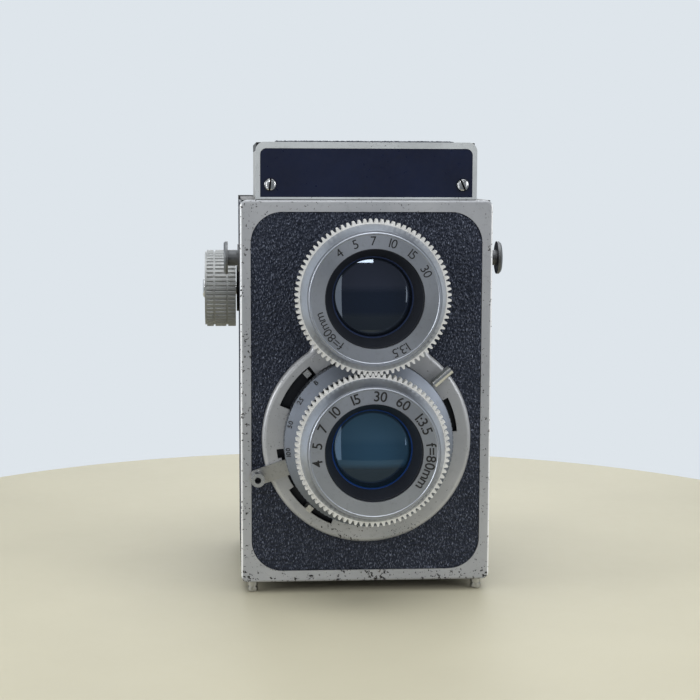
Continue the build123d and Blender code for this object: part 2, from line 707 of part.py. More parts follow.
def shutter_blades():
    """Make the closed shutter: sectors that meet behind the housing's floor."""
    front = MOUNT_FLOOR_H - MOUNT_FLOOR_T - LEVER_RUN
    step = 360 / BLADES
    blades = []
    for number in range(BLADES):
        middle = number * step
        first = middle - step / 2 + BLADE_GAP_DEG
        last = middle + step / 2 - BLADE_GAP_DEG
        tip = polar(BLADE_T, middle)
        sides = Polyline(polar(BLADE_R, last), tip, polar(BLADE_R, first))
        arc = ThreePointArc(polar(BLADE_R, first), polar(BLADE_R, middle), polar(BLADE_R, last))
        blades.append(slab(make_face(sides + arc), (front - BLADE_T, front), TAKE_Z))
    return blades


def winding_knob():
    """Make the winding knob: three knurled tiers on a plain core, with a hole for its shaft."""
    base = Plane(origin=(-KNOB_INNER_X, FRONT_Y + TAKEUP_D, TAKEUP_Z), z_dir=(-1, 0, 0))
    length = KNOB_OUTER_X - KNOB_INNER_X
    knob = extrude(base * wheel(KNOB_R, KNOB_KNURL_DEPTH, KNOB_KNURLS), amount=length)
    waist = KNOB_R - KNOB_GROOVE_DEPTH
    for x in KNOB_GROOVES_X:
        groove = (-x - KNOB_GROOVE_W / 2, -x + KNOB_GROOVE_W / 2)
        knob -= ring_x(KNOB_R + KNURL_CUTTER, waist, groove, TAKEUP_D, TAKEUP_Z)
    end = (-KNOB_OUTER_X, -KNOB_OUTER_X + KNOB_EDGE_R)
    knob -= ring_x(KNOB_R + KNURL_CUTTER, waist, end, TAKEUP_D, TAKEUP_Z)
    return knob - bar_x(SHAFT_R, (-KNOB_OUTER_X, -KNOB_INNER_X), TAKEUP_D, TAKEUP_Z)


def winding_shaft():
    """Make the winding shaft, with the flat key that drives the take-up spool."""
    inner_end = -SPOOL_X + SPOOL_KEY_REACH
    shaft = bar_x(SHAFT_R, (-KNOB_OUTER_X, inner_end), TAKEUP_D, TAKEUP_Z)
    key_depths = (TAKEUP_D - SHAFT_KEY_T / 2, TAKEUP_D + SHAFT_KEY_T / 2)
    key_z = (TAKEUP_Z - SHAFT_KEY_HALF, TAKEUP_Z + SHAFT_KEY_HALF)
    return shaft + block((-SPOOL_X, -SPOOL_X + SHAFT_KEY_L), key_depths, key_z)


def knob_screw():
    """Make the low domed screw in the middle of the knob."""
    face = Plane(origin=(-KNOB_OUTER_X, FRONT_Y + TAKEUP_D, TAKEUP_Z), z_dir=(-1, 0, 0))
    head = extrude(face * Circle(KNOB_SCREW_R), amount=KNOB_SCREW_DOME)
    return chamfer(head.edges().sort_by(Axis.X)[0], KNOB_SCREW_DOME / 2)


def knob_base():
    """Make the black disc between the knob and the body."""
    x_range = (-KNOB_INNER_X + RUN, -CAST_X)
    return ring_x(KNOB_BASE_R, SHAFT_R + FIT, x_range, TAKEUP_D, TAKEUP_Z)


def spool(depth, z):
    """Make a film spool: a core, two flanges and the drive slots in their ends."""
    reel = bar_x(SPOOL_CORE_R, (-SPOOL_X, SPOOL_X), depth, z)
    reel += bar_x(SPOOL_R, (-SPOOL_X, -SPOOL_X + SPOOL_FLANGE_T), depth, z)
    reel += bar_x(SPOOL_R, (SPOOL_X - SPOOL_FLANGE_T, SPOOL_X), depth, z)
    reel -= bar_x(SPOOL_HOLE_R, (-SPOOL_X, SPOOL_X), depth, z)
    slot_y = (depth - SHAFT_KEY_T / 2 - FIT, depth + SHAFT_KEY_T / 2 + FIT)
    slot_z = (z - SHAFT_KEY_HALF - FIT, z + SHAFT_KEY_HALF + FIT)
    for x_range in ((-SPOOL_X, -SPOOL_X + SHAFT_KEY_L + FIT), (SPOOL_X - SHAFT_KEY_L - FIT, SPOOL_X)):
        reel -= block(x_range, slot_y, slot_z)
    return reel


def film_roller():
    """Make the lower film roller with its two stub axles."""
    end = CHAMBER_X - RUN
    roller = bar_x(ROLLER_R, (-end, end), ROLLER_D, ROLLER_Z)
    stub = CHAMBER_X + ROLLER_STUB
    return roller + bar_x(ROLLER_STUB_R, (-stub, stub), ROLLER_D, ROLLER_Z)


def light_cone():
    """Make the hollow black baffle that widens from the lens to the film gate."""
    planes = [front_plane(-CONE_FRONT_DEPTH, TAKE_Z), front_plane(GATE_T - FILM_D, TAKE_Z)]
    front = 2 * CONE_FRONT_HALF
    wall = 2 * CONE_T
    outer = loft([planes[0] * Rectangle(front + wall, front + wall),
                  planes[1] * Rectangle(GATE_SIZE, GATE_SIZE)])
    inner = loft([planes[0] * Rectangle(front, front),
                  planes[1] * Rectangle(GATE_SIZE - wall, GATE_SIZE - wall)])
    return outer - inner


def side_leathers():
    """Make the leathers of the two sides, cut round the lugs and the knob's base."""
    depths = (PANEL_T + LEATHER_GROOVE, FILM_D - LEATHER_GROOVE)
    z_range = (SIDE_LEATHER_MARGIN, BODY_H - SIDE_LEATHER_MARGIN)
    right = block((CAST_X, BODY_W / 2), depths, z_range)
    right -= bar_x(LUG_BASE_R + LEATHER_GROOVE, (CAST_X, BODY_W / 2), LUG_DEPTH, LUG_Z)
    left = mirror(right, about=Plane.YZ)
    left -= bar_x(KNOB_BASE_R + LEATHER_GROOVE, (-BODY_W / 2, -CAST_X), TAKEUP_D, TAKEUP_Z)
    return [left, right]


def focusing_screen():
    """Make the ground glass that lies on the deck over its opening."""
    half = SCREEN_OPENING_X + SCREEN_LAP
    depths = (SCREEN_FRONT_D - SCREEN_LAP, SCREEN_BACK_D + SCREEN_LAP)
    return block((-half, half), depths, (BODY_H, BODY_H + SCREEN_T))


def hood_wires():
    """Make the four hinge wires of the hood: two side flaps, the rear flap and the lid."""
    y_range = (HOOD_FRONT_DEPTH + HOOD_WALL / 2, HOOD_BACK_D - HOOD_WALL / 2)
    end = HOOD_X - HOOD_WALL / 2
    side = bar_y(FLAP_PIN_R, y_range, FLAP_AXIS_X, FLAP_Z)
    rear = bar_x(FLAP_PIN_R, (-end, end), REAR_FLAP_D, REAR_FLAP_Z)
    reach = LID_KNUCKLE_X + LID_KNUCKLE_W
    lid = bar_x(LID_PIN_R, (-reach, reach), LID_AXIS_DEPTH, LID_AXIS_Z)
    return mirrored_pair(side) + [rear, lid]


def hood_frame():
    """Make the low hood frame, with the lid's two outer knuckles on its front wall."""
    depths = (HOOD_FRONT_DEPTH, HOOD_BACK_D)
    top = BODY_H + HOOD_H
    frame = block((-HOOD_X, HOOD_X), depths, (BODY_H, top))
    inner = HOOD_X - HOOD_WALL
    frame -= block((-inner, inner), (depths[0] + HOOD_WALL, depths[1] - HOOD_WALL), (BODY_H, top))
    for side in (-1, 1):
        x_range = sorted((side * (LID_KNUCKLE_X + LEVER_RUN), side * (LID_KNUCKLE_X + LID_KNUCKLE_W)))
        frame += bar_x(LID_BARREL_R, x_range, LID_AXIS_DEPTH, LID_AXIS_Z)
        web_z = (LID_AXIS_Z - 2 * LID_BARREL_R, LID_AXIS_Z - LID_BARREL_R / 2)
        frame += block(x_range, (HOOD_FRONT_DEPTH, LID_AXIS_DEPTH), web_z)
    for wire in hood_wires() + name_screws():
        frame -= wire
    return frame


def name_screws():
    """Make the two slotted screws that hold the nameplate to the hood."""
    z = BODY_H + NAME_SCREW_Z
    face = NAMEPLATE_DEPTH
    head = bar_y(NAME_SCREW_R, (face - NAME_SCREW_H, face), NAME_SCREW_X, z)
    head = fillet(head.edges().sort_by(Axis.Y)[0], NAME_SCREW_H / 2)
    slot_x = (NAME_SCREW_X - NAME_SCREW_R, NAME_SCREW_X + NAME_SCREW_R)
    slot_z = (z - NAME_SLOT_W / 2, z + NAME_SLOT_W / 2)
    head -= block(slot_x, (face - NAME_SCREW_H, face - NAME_SCREW_H / 2), slot_z)
    head += bar_y(NAME_SHANK_R, (face, HOOD_FRONT_DEPTH + HOOD_WALL), NAME_SCREW_X, z)
    return mirrored_pair(head)


def name_face(half_width, foot, height, corner_r):
    """Draw a plate on the hood front with only its top corners rounded."""
    face = Pos(0, foot + height / 2) * Rectangle(2 * half_width, height)
    return fillet(face.vertices().group_by(Axis.Y)[-1], corner_r)


def nameplate():
    """Make the painted nameplate with the enamel's recess."""
    back = -HOOD_FRONT_DEPTH
    plate = slab(name_face(NAMEPLATE_X, NAMEPLATE_FOOT, NAMEPLATE_H, NAMEPLATE_CORNER_R),
                 (back, back + NAMEPLATE_T), BODY_H)
    plate -= slab(name_face(ENAMEL_X, ENAMEL_FOOT, ENAMEL_H, ENAMEL_CORNER_R),
                  (back + NAMEPLATE_T - ENAMEL_T - LEATHER_GROOVE, back + NAMEPLATE_T), BODY_H)
    for screw in name_screws():
        plate -= screw
    return plate


def nameplate_enamel():
    """Make the blank enamel that fills the nameplate."""
    front = NAMEPLATE_T - HOOD_FRONT_DEPTH - LEATHER_GROOVE
    enamel = slab(name_face(ENAMEL_X, ENAMEL_FOOT, ENAMEL_H, ENAMEL_CORNER_R),
                  (front - ENAMEL_T, front), BODY_H)
    for screw in name_screws():
        enamel -= screw
    return enamel


def hood_lid():
    """Make the hood lid: plate, side and rear skirts, middle knuckle and the magnifier's ears."""
    front = LID_AXIS_DEPTH - LID_FRONT_OVERHANG
    plate_z = (LID_UNDER_Z, LID_UNDER_Z + LID_T)
    lid = block((-HOOD_X, HOOD_X), (front, HOOD_BACK_D), plate_z)
    skirt_z = (BODY_H + HOOD_H + LEVER_RUN, LID_UNDER_Z)
    skirt_front = LID_AXIS_DEPTH + LID_LEATHER_MARGIN
    inner = HOOD_X - HOOD_WALL
    lid += block((-HOOD_X, HOOD_X), (skirt_front, HOOD_BACK_D), skirt_z)
    lid -= block((-inner, inner), (skirt_front, HOOD_BACK_D - HOOD_WALL), skirt_z)
    knuckle = (-LID_KNUCKLE_X, LID_KNUCKLE_X)
    lid += bar_x(LID_BARREL_R, knuckle, LID_AXIS_DEPTH, LID_AXIS_Z)
    for side in (-1, 1):
        notch_x = sorted((side * LID_KNUCKLE_X, side * (LID_KNUCKLE_X + LID_KNUCKLE_W + RUN)))
        lid -= block(notch_x, (0, LID_AXIS_DEPTH + LID_BARREL_R + 2 * RUN), (BODY_H, plate_z[1]))
        corner_x = sorted((side * (inner - RUN), side * HOOD_X))
        lid -= block(corner_x, (front, LID_AXIS_DEPTH + RUN), plate_z)
        ear_x = sorted((side * (MAG_X + LEVER_RUN), side * (MAG_X + LEVER_RUN + MAG_EAR_T)))
        ear_z = (MAG_Z - MAG_BARREL_R, LID_UNDER_Z)
        lid += block(ear_x, (MAG_D - MAG_BARREL_R, MAG_D + MAG_BARREL_R), ear_z)
    ear_end = MAG_X + LEVER_RUN + MAG_EAR_T
    lid -= bar_x(MAG_PIN_R + FIT, (-ear_end, ear_end), MAG_D, MAG_Z)
    return lid - bar_x(LID_PIN_R + FIT, knuckle, LID_AXIS_DEPTH, LID_AXIS_Z)


def lid_leather():
    """Make the leather on the lid."""
    depths = (LID_AXIS_DEPTH + LID_LEATHER_MARGIN, HOOD_BACK_D - LID_LEATHER_MARGIN)
    base = LID_UNDER_Z + LID_T
    return block((-LID_LEATHER_X, LID_LEATHER_X), depths, (base, base + LID_LEATHER_T))


def right_flap():
    """Make the right side flap, lying flat, with its front edge cut at 45 degrees."""
    front = HOOD_FRONT_DEPTH + HOOD_WALL + FLAP_BARREL_MARGIN
    back = HOOD_BACK_D - HOOD_WALL - FLAP_BARREL_MARGIN
    tip = FLAP_AXIS_X - SIDE_FLAP_REACH
    outline = Polyline((FLAP_AXIS_X, FRONT_Y + front), (FLAP_AXIS_X, FRONT_Y + back),
                       (tip, FRONT_Y + back), (tip, FRONT_Y + front + SIDE_FLAP_REACH), close=True)
    leaf = Pos(0, 0, FLAP_Z - FLAP_T / 2) * extrude(make_face(outline), amount=FLAP_T, dir=(0, 0, 1))
    leaf += bar_y(FLAP_BARREL_R, (front, back), FLAP_AXIS_X, FLAP_Z)
    return leaf - bar_y(FLAP_PIN_R + FIT, (front, back), FLAP_AXIS_X, FLAP_Z)


def rear_flap():
    """Make the rear flap, lying flat, with both its sides cut at 45 degrees."""
    tip = REAR_FLAP_X - REAR_FLAP_REACH
    hinge_y = FRONT_Y + REAR_FLAP_D
    tip_y = hinge_y - REAR_FLAP_REACH
    outline = Polyline((-REAR_FLAP_X, hinge_y), (REAR_FLAP_X, hinge_y), (tip, tip_y), (-tip, tip_y),
                       close=True)
    leaf = Pos(0, 0, REAR_FLAP_Z - FLAP_T / 2) * extrude(make_face(outline), amount=FLAP_T, dir=(0, 0, 1))
    ends = (-REAR_FLAP_X, REAR_FLAP_X)
    leaf += bar_x(FLAP_BARREL_R, ends, REAR_FLAP_D, REAR_FLAP_Z)
    return leaf - bar_x(FLAP_PIN_R + FIT, ends, REAR_FLAP_D, REAR_FLAP_Z)


def magnifier_frame():
    """Make the magnifier's frame with its barrel and two stub pins."""
    depths = (MAG_D, MAG_D + MAG_REACH + MAG_X - RUN)
    frame = block((-MAG_X, MAG_X), depths, (MAG_Z - MAG_T / 2, MAG_Z + MAG_T / 2))
    frame = fillet(frame.edges().filter_by(Axis.Z).group_by(Axis.Y)[-1], MAG_CORNER_R)
    frame += bar_x(MAG_BARREL_R, (-MAG_X, MAG_X), MAG_D, MAG_Z)
    stub = MAG_X + LEVER_RUN + MAG_EAR_T
    frame += bar_x(MAG_PIN_R, (-stub, stub), MAG_D, MAG_Z)
    return frame - post_z(MAG_LENS_R, (MAG_Z - MAG_T, MAG_Z + MAG_T), 0, MAG_D + MAG_REACH)


def magnifier_lens():
    """Make the double-convex magnifier glass."""
    rim = MAG_LENS_EDGE / 2
    top = rim + MAG_LENS_DOME
    crown = ThreePointArc((-MAG_LENS_R, rim), (0, top), (MAG_LENS_R, rim))
    belly = ThreePointArc((MAG_LENS_R, -rim), (0, -top), (-MAG_LENS_R, -rim))
    sides = Line((MAG_LENS_R, rim), (MAG_LENS_R, -rim)) + Line((-MAG_LENS_R, -rim), (-MAG_LENS_R, rim))
    section = Plane.XZ * make_face(crown + belly + sides)
    half = split(section, bisect_by=Plane.YZ, keep=Keep.TOP)
    return Pos(0, FRONT_Y + MAG_D + MAG_REACH, MAG_Z) * revolve(half, Axis.Z)


def window_depths(first, last):
    """Give a depth range counted from the back cover's outer metal face."""
    return (COVER_OUT_D + first, COVER_OUT_D + last)


def back_cover():
    """Make the back cover: a pan with its hinge knuckle, window hole and latch stud."""
    half = BODY_W / 2
    pan = block((-half, half), (COVER_IN_D, COVER_OUT_D), (COVER_FOOT_Z, COVER_TOP_Z))
    pan = fillet(pan.faces().sort_by(Axis.Y)[-1].edges(), COVER_EDGE_R)
    inner = half - COVER_RIM
    pan -= block((-inner, inner), (COVER_IN_D, COVER_OUT_D - COVER_WALL),
                 (COVER_FOOT_Z + COVER_RIM, COVER_TOP_Z - COVER_RIM))
    knuckle = (-HINGE_KNUCKLE_X, HINGE_KNUCKLE_X)
    pan += bar_x(HINGE_R, knuckle, HINGE_D, HINGE_Z)
    pan += block(knuckle, (COVER_IN_D + RUN, COVER_OUT_D - RUN), (COVER_TOP_Z - COVER_RIM, HINGE_Z))
    pan -= bar_x(HINGE_PIN_R + FIT, knuckle, HINGE_D, HINGE_Z)
    pan -= bar_y(WINDOW_R, (COVER_IN_D, COVER_OUT_D), 0, WINDOW_Z)
    for x in (-LATCH_STUD_X, LATCH_STUD_X):
        head = LATCH_T + 2 * LEVER_RUN
        pan += bar_y(LATCH_STUD_R, window_depths(-COVER_WALL, head), x, LATCH_STUD_Z)
        pan += bar_y(LATCH_HEAD_R, window_depths(head, head + LATCH_HEAD_T), x, LATCH_STUD_Z)
    return pan


def back_leather():
    """Make the leather of the back, cut round the window frame and the latch."""
    half = BODY_W / 2 - BACK_LEATHER_BORDER
    z_range = (COVER_FOOT_Z + BACK_LEATHER_BORDER, COVER_TOP_Z - BACK_LEATHER_BORDER)
    depths = window_depths(0, LEATHER_T)
    leather = block((-half, half), depths, z_range)
    gap = LEATHER_GROOVE
    leather -= block((-FRAME_LEFT - gap, FRAME_RIGHT + gap), depths,
                     (WINDOW_Z - FRAME_HALF_H - gap, WINDOW_Z + FRAME_HALF_H + gap))
    cut_x = LATCH_W / 2 + RUN
    leather -= block((-cut_x, cut_x + LATCH_TRAVEL), depths, (0, LATCH_RISE + RUN))
    return leather


def window_frame():
    """Make the frame of the film window, with the two lipped rails that guide its cover."""
    x_range = (-FRAME_LEFT, FRAME_RIGHT)
    low = WINDOW_Z - FRAME_HALF_H
    high = WINDOW_Z + FRAME_HALF_H
    rail_top = FRAME_T + SLIDE_T + 2 * LEVER_RUN
    frame = block(x_range, window_depths(0, FRAME_T), (low, high))
    for edge, side in ((low, 1), (high, -1)):
        rail_z = sorted((edge, edge + side * SLIDE_RAIL))
        lip_z = sorted((edge, edge + side * (SLIDE_RAIL + SLIDE_LIP)))
        frame += block(x_range, window_depths(0, rail_top), rail_z)
        frame += block(x_range, window_depths(rail_top, rail_top + SLIDE_LIP_T), lip_z)
    return frame - bar_y(WINDOW_R - SLIDE_LIP, window_depths(0, FRAME_T), 0, WINDOW_Z)


def window_glass():
    """Make the red glass of the film window, set in the cover's hole."""
    return bar_y(WINDOW_R, window_depths(-WINDOW_GLASS_T, 0), 0, WINDOW_Z)


def window_slide():
    """Make the sliding cover of the film window, with a raised grip."""
    half = SLIDE_L / 2
    half_h = FRAME_HALF_H - SLIDE_RAIL - LEVER_RUN
    base = FRAME_T + LEVER_RUN
    plate_z = (WINDOW_Z - half_h, WINDOW_Z + half_h)
    plate = block((-half, half), window_depths(base, base + SLIDE_T), plate_z)
    grip_z = (WINDOW_Z - SLIDE_GRIP_HALF_H, WINDOW_Z + SLIDE_GRIP_HALF_H)
    top = base + SLIDE_T
    for x in (-SLIDE_GRIP_W, 0, SLIDE_GRIP_W):
        rib_x = (x - SLIDE_RIB_W / 2, x + SLIDE_RIB_W / 2)
        plate += block(rib_x, window_depths(top, top + SLIDE_GRIP_T), grip_z)
    return plate


def pressure_plate():
    """Make the pressure plate, with a hole in line with the film window."""
    half = PRESSURE_SIZE[0] / 2
    half_h = PRESSURE_SIZE[1] / 2
    depths = (FILM_D + PRESSURE_GAP, FILM_D + PRESSURE_GAP + PRESSURE_T)
    plate = block((-half, half), depths, (TAKE_Z - half_h, TAKE_Z + half_h))
    return plate - bar_y(WINDOW_R, depths, 0, WINDOW_Z)


def pressure_springs():
    """Make the two bowed leaf springs between the pressure plate and the cover."""
    near = FRONT_Y + FILM_D + PRESSURE_GAP + PRESSURE_T
    far = FRONT_Y + COVER_OUT_D - COVER_WALL
    low = TAKE_Z - SPRING_HALF_L
    high = TAKE_Z + SPRING_HALF_L
    line = [(near, low), (far - SPRING_T, TAKE_Z - SPRING_PAD), (far - SPRING_T, TAKE_Z + SPRING_PAD),
            (near, high)]
    back_line = [(y + SPRING_T, z) for y, z in reversed(line)]
    side = Plane(origin=(SPRING_X, 0, 0), x_dir=(0, 1, 0), z_dir=(1, 0, 0))
    leaf = extrude(side * make_face(Polyline(*line, *back_line, close=True)), amount=SPRING_W)
    return mirrored_pair(leaf)


def back_latch():
    """Make the sliding latch: a plate on two studs, with a foot that lies under the body."""
    half = LATCH_W / 2
    depths = window_depths(LEVER_RUN, LEVER_RUN + LATCH_T)
    latch = block((-half, half), depths, (-LATCH_DROP - LATCH_T, LATCH_RISE))
    foot_depths = (COVER_IN_D - LATCH_REACH, depths[1])
    latch += block((-half, half), foot_depths, (-LATCH_DROP - LATCH_T, -LATCH_DROP))
    for x in (-LATCH_STUD_X, LATCH_STUD_X):
        slot_x = (x - LATCH_TRAVEL - LATCH_STUD_R - FIT, x + LATCH_STUD_R + FIT)
        slot_z = (LATCH_STUD_Z - LATCH_STUD_R - FIT, LATCH_STUD_Z + LATCH_STUD_R + FIT)
        latch -= block(slot_x, depths, slot_z)
    return latch


def make_body():
    """Write the pieces that are fixed to the body."""
    save("body_casting", body_casting())
    save("front_panel", front_panel())
    save("front_leather", front_leather())
    save("shutter_plate", shutter_plate())
    save("shutter_housing", mount(PLATE_H, SHUTTER_OPENING_R, MOUNT_R, MOUNT_LIP_R, TAKE_Z))
    save("viewing_mount", mount(RECESS_H, SLEEVE_BORE_R, VIEW_MOUNT_R, VIEW_MOUNT_LIP_R, VIEW_Z))
    save("rear_lens_glass", domed(MOUNT_TUBE_R, REAR_GLASS_CLEAR_R, MOUNT_BACK_H,
                                  MOUNT_BACK_H + REAR_GLASS_T, REAR_GLASS_DOME, TAKE_Z))
    save_group("shutter_blades", shutter_blades())
    save_group("flash_sync_post", sync_post())
    save_group("side_leathers", side_leathers())
    save_group("strap_lugs", strap_lugs())
    save_group("feet", feet())
    save_group("spool_pins", spool_pin_bars())
    save("tripod_bush", tripod_bush())
    save("viewing_mirror", mirror_plate(MIRROR_W, MIRROR_T, 0))
    save("light_cone", light_cone())
    save("knob_base", knob_base())
    save("back_hinge_pin", bar_x(HINGE_PIN_R, (-BODY_W / 2, BODY_W / 2), HINGE_D, HINGE_Z))


def make_lenses():
    """Write the two focusing lenses, the shutter controls and their levers."""
    for name, z, phase in (("viewing", VIEW_Z, 0.5), ("taking", TAKE_Z, 0.0)):
        save(name + "_lens_sleeve", sleeve(z))
        save(name + "_lens_glass", domed(GLASS_R, GLASS_CLEAR_R, GLASS_BACK_H, GLASS_RIM_H, GLASS_DOME, z))
        save(name + "_lens_retainer", retainer(z))
        save(name + "_focus_gear", focus_gear(z, phase))
        save(name + "_lens_bezel", bezel(z))
    save("speed_ring", speed_ring())
    save("aperture_lever", slot_lever(APERTURE_SLOT, APERTURE_ANGLE, APERTURE_LEVEL_H, APERTURE_TIP_H))
    save("delay_lever", slot_lever(DELAY_SLOT, DELAY_ANGLE, DELAY_LEVEL_H, DELAY_TIP_H))
    save("release_lever", release_lever())
    save("release_button", release_button())


def make_film_transport():
    """Write the winding knob, the spools and the roller."""
    save("winding_knob", winding_knob())
    save("winding_shaft", winding_shaft())
    save("knob_screw", knob_screw())
    save("takeup_spool", spool(TAKEUP_D, TAKEUP_Z))
    save("supply_spool", spool(SUPPLY_D, SUPPLY_Z))
    save("film_roller", film_roller())


def make_hood():
    """Write the waist-level hood and its focusing screen."""
    save("hood_frame", hood_frame())
    save("nameplate", nameplate())
    save("nameplate_enamel", nameplate_enamel())
    save_group("nameplate_screws", name_screws())
    save_group("hood_wires", hood_wires())
    save("focusing_screen", focusing_screen())
    save("hood_lid", hood_lid())
    save("lid_leather", lid_leather())
    save("right_flap", right_flap())
    save("left_flap", mirror(right_flap(), about=Plane.YZ))
    save("rear_flap", rear_flap())
    save("magnifier_frame", magnifier_frame())
    save("magnifier_lens", magnifier_lens())


def make_back():
    """Write the hinged back cover and what it carries."""
    save("back_cover", back_cover())
    save("back_leather", back_leather())
    save("window_frame", window_frame())
    save("window_glass", window_glass())
    save("window_slide", window_slide())
    save("pressure_plate", pressure_plate())
    save_group("pressure_springs", pressure_springs())
    save("back_latch", back_latch())


os.makedirs("parts", exist_ok=True)
make_body()
make_lenses()
make_film_transport()
make_hood()
make_back()
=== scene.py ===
"""Twin lens reflex camera: its finishes, lettering, leather, lenses and screws, and the table it stands on.

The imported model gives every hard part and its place. This script dresses those parts and adds the pieces
that a drawing of them leaves out. Lengths are in metres, with +Z up and the lenses looking along -Y.
"""
import logging
import math
from abc import ABC, abstractmethod
from collections.abc import Sequence
from dataclasses import dataclass, replace
from enum import Enum
from itertools import pairwise

import bpy
from mathutils import Matrix, Vector


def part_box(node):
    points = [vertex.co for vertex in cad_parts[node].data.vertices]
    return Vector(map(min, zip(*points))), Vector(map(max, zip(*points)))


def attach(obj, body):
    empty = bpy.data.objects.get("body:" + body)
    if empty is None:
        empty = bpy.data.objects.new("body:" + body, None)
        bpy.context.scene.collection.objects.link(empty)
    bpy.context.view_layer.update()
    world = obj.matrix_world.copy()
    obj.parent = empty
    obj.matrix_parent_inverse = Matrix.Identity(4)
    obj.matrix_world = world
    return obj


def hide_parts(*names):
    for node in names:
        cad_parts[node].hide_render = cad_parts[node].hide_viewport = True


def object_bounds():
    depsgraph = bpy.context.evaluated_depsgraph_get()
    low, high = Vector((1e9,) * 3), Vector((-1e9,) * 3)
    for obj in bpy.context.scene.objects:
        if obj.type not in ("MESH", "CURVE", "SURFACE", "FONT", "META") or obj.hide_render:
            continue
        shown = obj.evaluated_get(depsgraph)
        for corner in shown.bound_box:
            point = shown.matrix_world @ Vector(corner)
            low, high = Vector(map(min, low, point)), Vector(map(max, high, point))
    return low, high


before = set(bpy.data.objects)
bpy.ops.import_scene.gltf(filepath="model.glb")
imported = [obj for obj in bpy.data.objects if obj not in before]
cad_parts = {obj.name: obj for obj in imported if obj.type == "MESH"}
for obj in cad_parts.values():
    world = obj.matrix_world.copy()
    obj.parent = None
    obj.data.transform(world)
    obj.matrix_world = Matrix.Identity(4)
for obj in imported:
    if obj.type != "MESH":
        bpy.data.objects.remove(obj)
CAD_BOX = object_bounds()
log = logging.getLogger("camera")

MM = 0.001
Triple = tuple[float, float, float]
Colour = Triple
Rows = tuple[tuple[str, float], ...]
Input = bpy.types.NodeSocket | float | Sequence[float]
X, Y, Z = range(3)


class Body(str, Enum):
    """The moving and fixed bodies that the new pieces ride on."""

    CAMERA = "camera_body"
    VIEWING_SLEEVE = "viewing_sleeve"
    VIEWING_RING = "viewing_ring"
    TAKING_SLEEVE = "taking_sleeve"
    TAKING_RING = "taking_ring"
    SPEED_RING = "speed_ring"
    RELEASE = "release_lever"
    LID = "hood_lid"
    BACK = "back_cover"


class Slot(str, Enum):
    """The record's material slots. No piece in this script is given one."""

    LEATHER = "leatherette"
    BLACK = "matt_black"
    GLASS = "lens_glass"
    CHROME = "bright_chrome"


class Grain(Enum):
    """How the tool marks run over a metal surface: anyhow, or round an axis along X or Y."""

    CAST = None
    ROUND_X = "X"
    ROUND_Y = "Y"


def linear(red: int, green: int, blue: int) -> Colour:
    """Turn a colour of 0 to 255 display values into the linear values that a shader takes.

    Args:
        red: The red display value.
        green: The green display value.
        blue: The blue display value.

    Returns:
        The linear red, green and blue.
    """
    def one(level: int) -> float:
        """Turn one display value into a linear one."""
        share = level / 255
        return share / 12.92 if share < 0.04045 else ((share + 0.055) / 1.055) ** 2.4
    return one(red), one(green), one(blue)


def dim(colour: Colour, share: float) -> Colour:
    """Give a share of a colour's light."""
    return tuple(level * share for level in colour)


class Tree:
    """A node tree, with short methods for the nodes that the finishes and the room share."""

    def __init__(self, tree: bpy.types.NodeTree) -> None:
        """Empty a node tree, to fill it anew.

        Args:
            tree: The tree.
        """
        self.tree = tree
        tree.nodes.clear()

    def feed(self, socket: bpy.types.NodeSocket, value: Input) -> None:
        """Link a socket to another one, or set its constant.

        Args:
            socket: The input to feed.
            value: An output socket, a number or a colour.
        """
        if isinstance(value, bpy.types.NodeSocket):
            self.tree.links.new(value, socket)
        elif isinstance(value, (int, float)):
            socket.default_value = value
        else:
            size = len(socket.default_value)
            socket.default_value = (*value, 1.0)[:size]

    def node(self, kind: str, inputs: dict[str | int, Input], **settings: object) -> bpy.types.Node:
        """Add a node and feed it.

        Args:
            kind: The node's type, without its ShaderNode prefix.
            inputs: A value or an output socket for each input that is not left as it is.
            **settings: The node's own settings.

        Returns:
            The node.
        """
        node = self.tree.nodes.new("ShaderNode" + kind)
        for key, value in settings.items():
            setattr(node, key, value)
        for key, value in inputs.items():
            self.feed(node.inputs[key], value)
        return node

    def add(self, kind: str, inputs: dict[str | int, Input], out: str | int = 0,
            **settings: object) -> Input:
        """Add a node, feed it and give one of its outputs."""
        return self.node(kind, inputs, **settings).outputs[out]

    def maths(self, operation: str, first: Input, second: Input = 0.0, clamp: bool = False) -> Input:
        """Add a Math node and give its result."""
        return self.add("Math", {0: first, 1: second}, operation=operation, use_clamp=clamp)

    def between(self, value: Input, low: float, high: float, least: float = 0.0) -> Input:
        """Rescale a value so that low gives the least and high gives 1, and clamp it."""
        inputs = {"Value": value, "From Min": low, "From Max": high, "To Min": least}
        return self.add("MapRange", inputs, clamp=True)

    def blend(self, share: Input, first: Input, second: Input) -> Input:
        """Mix two numbers by a share of the second."""
        return self.add("Mix", {0: share, 2: first, 3: second}, data_type="FLOAT")

    def split(self, place: Input) -> tuple[Input, ...]:
        """Give the X, Y and Z of a place one by one."""
        return tuple(self.node("SeparateXYZ", {0: place}).outputs)


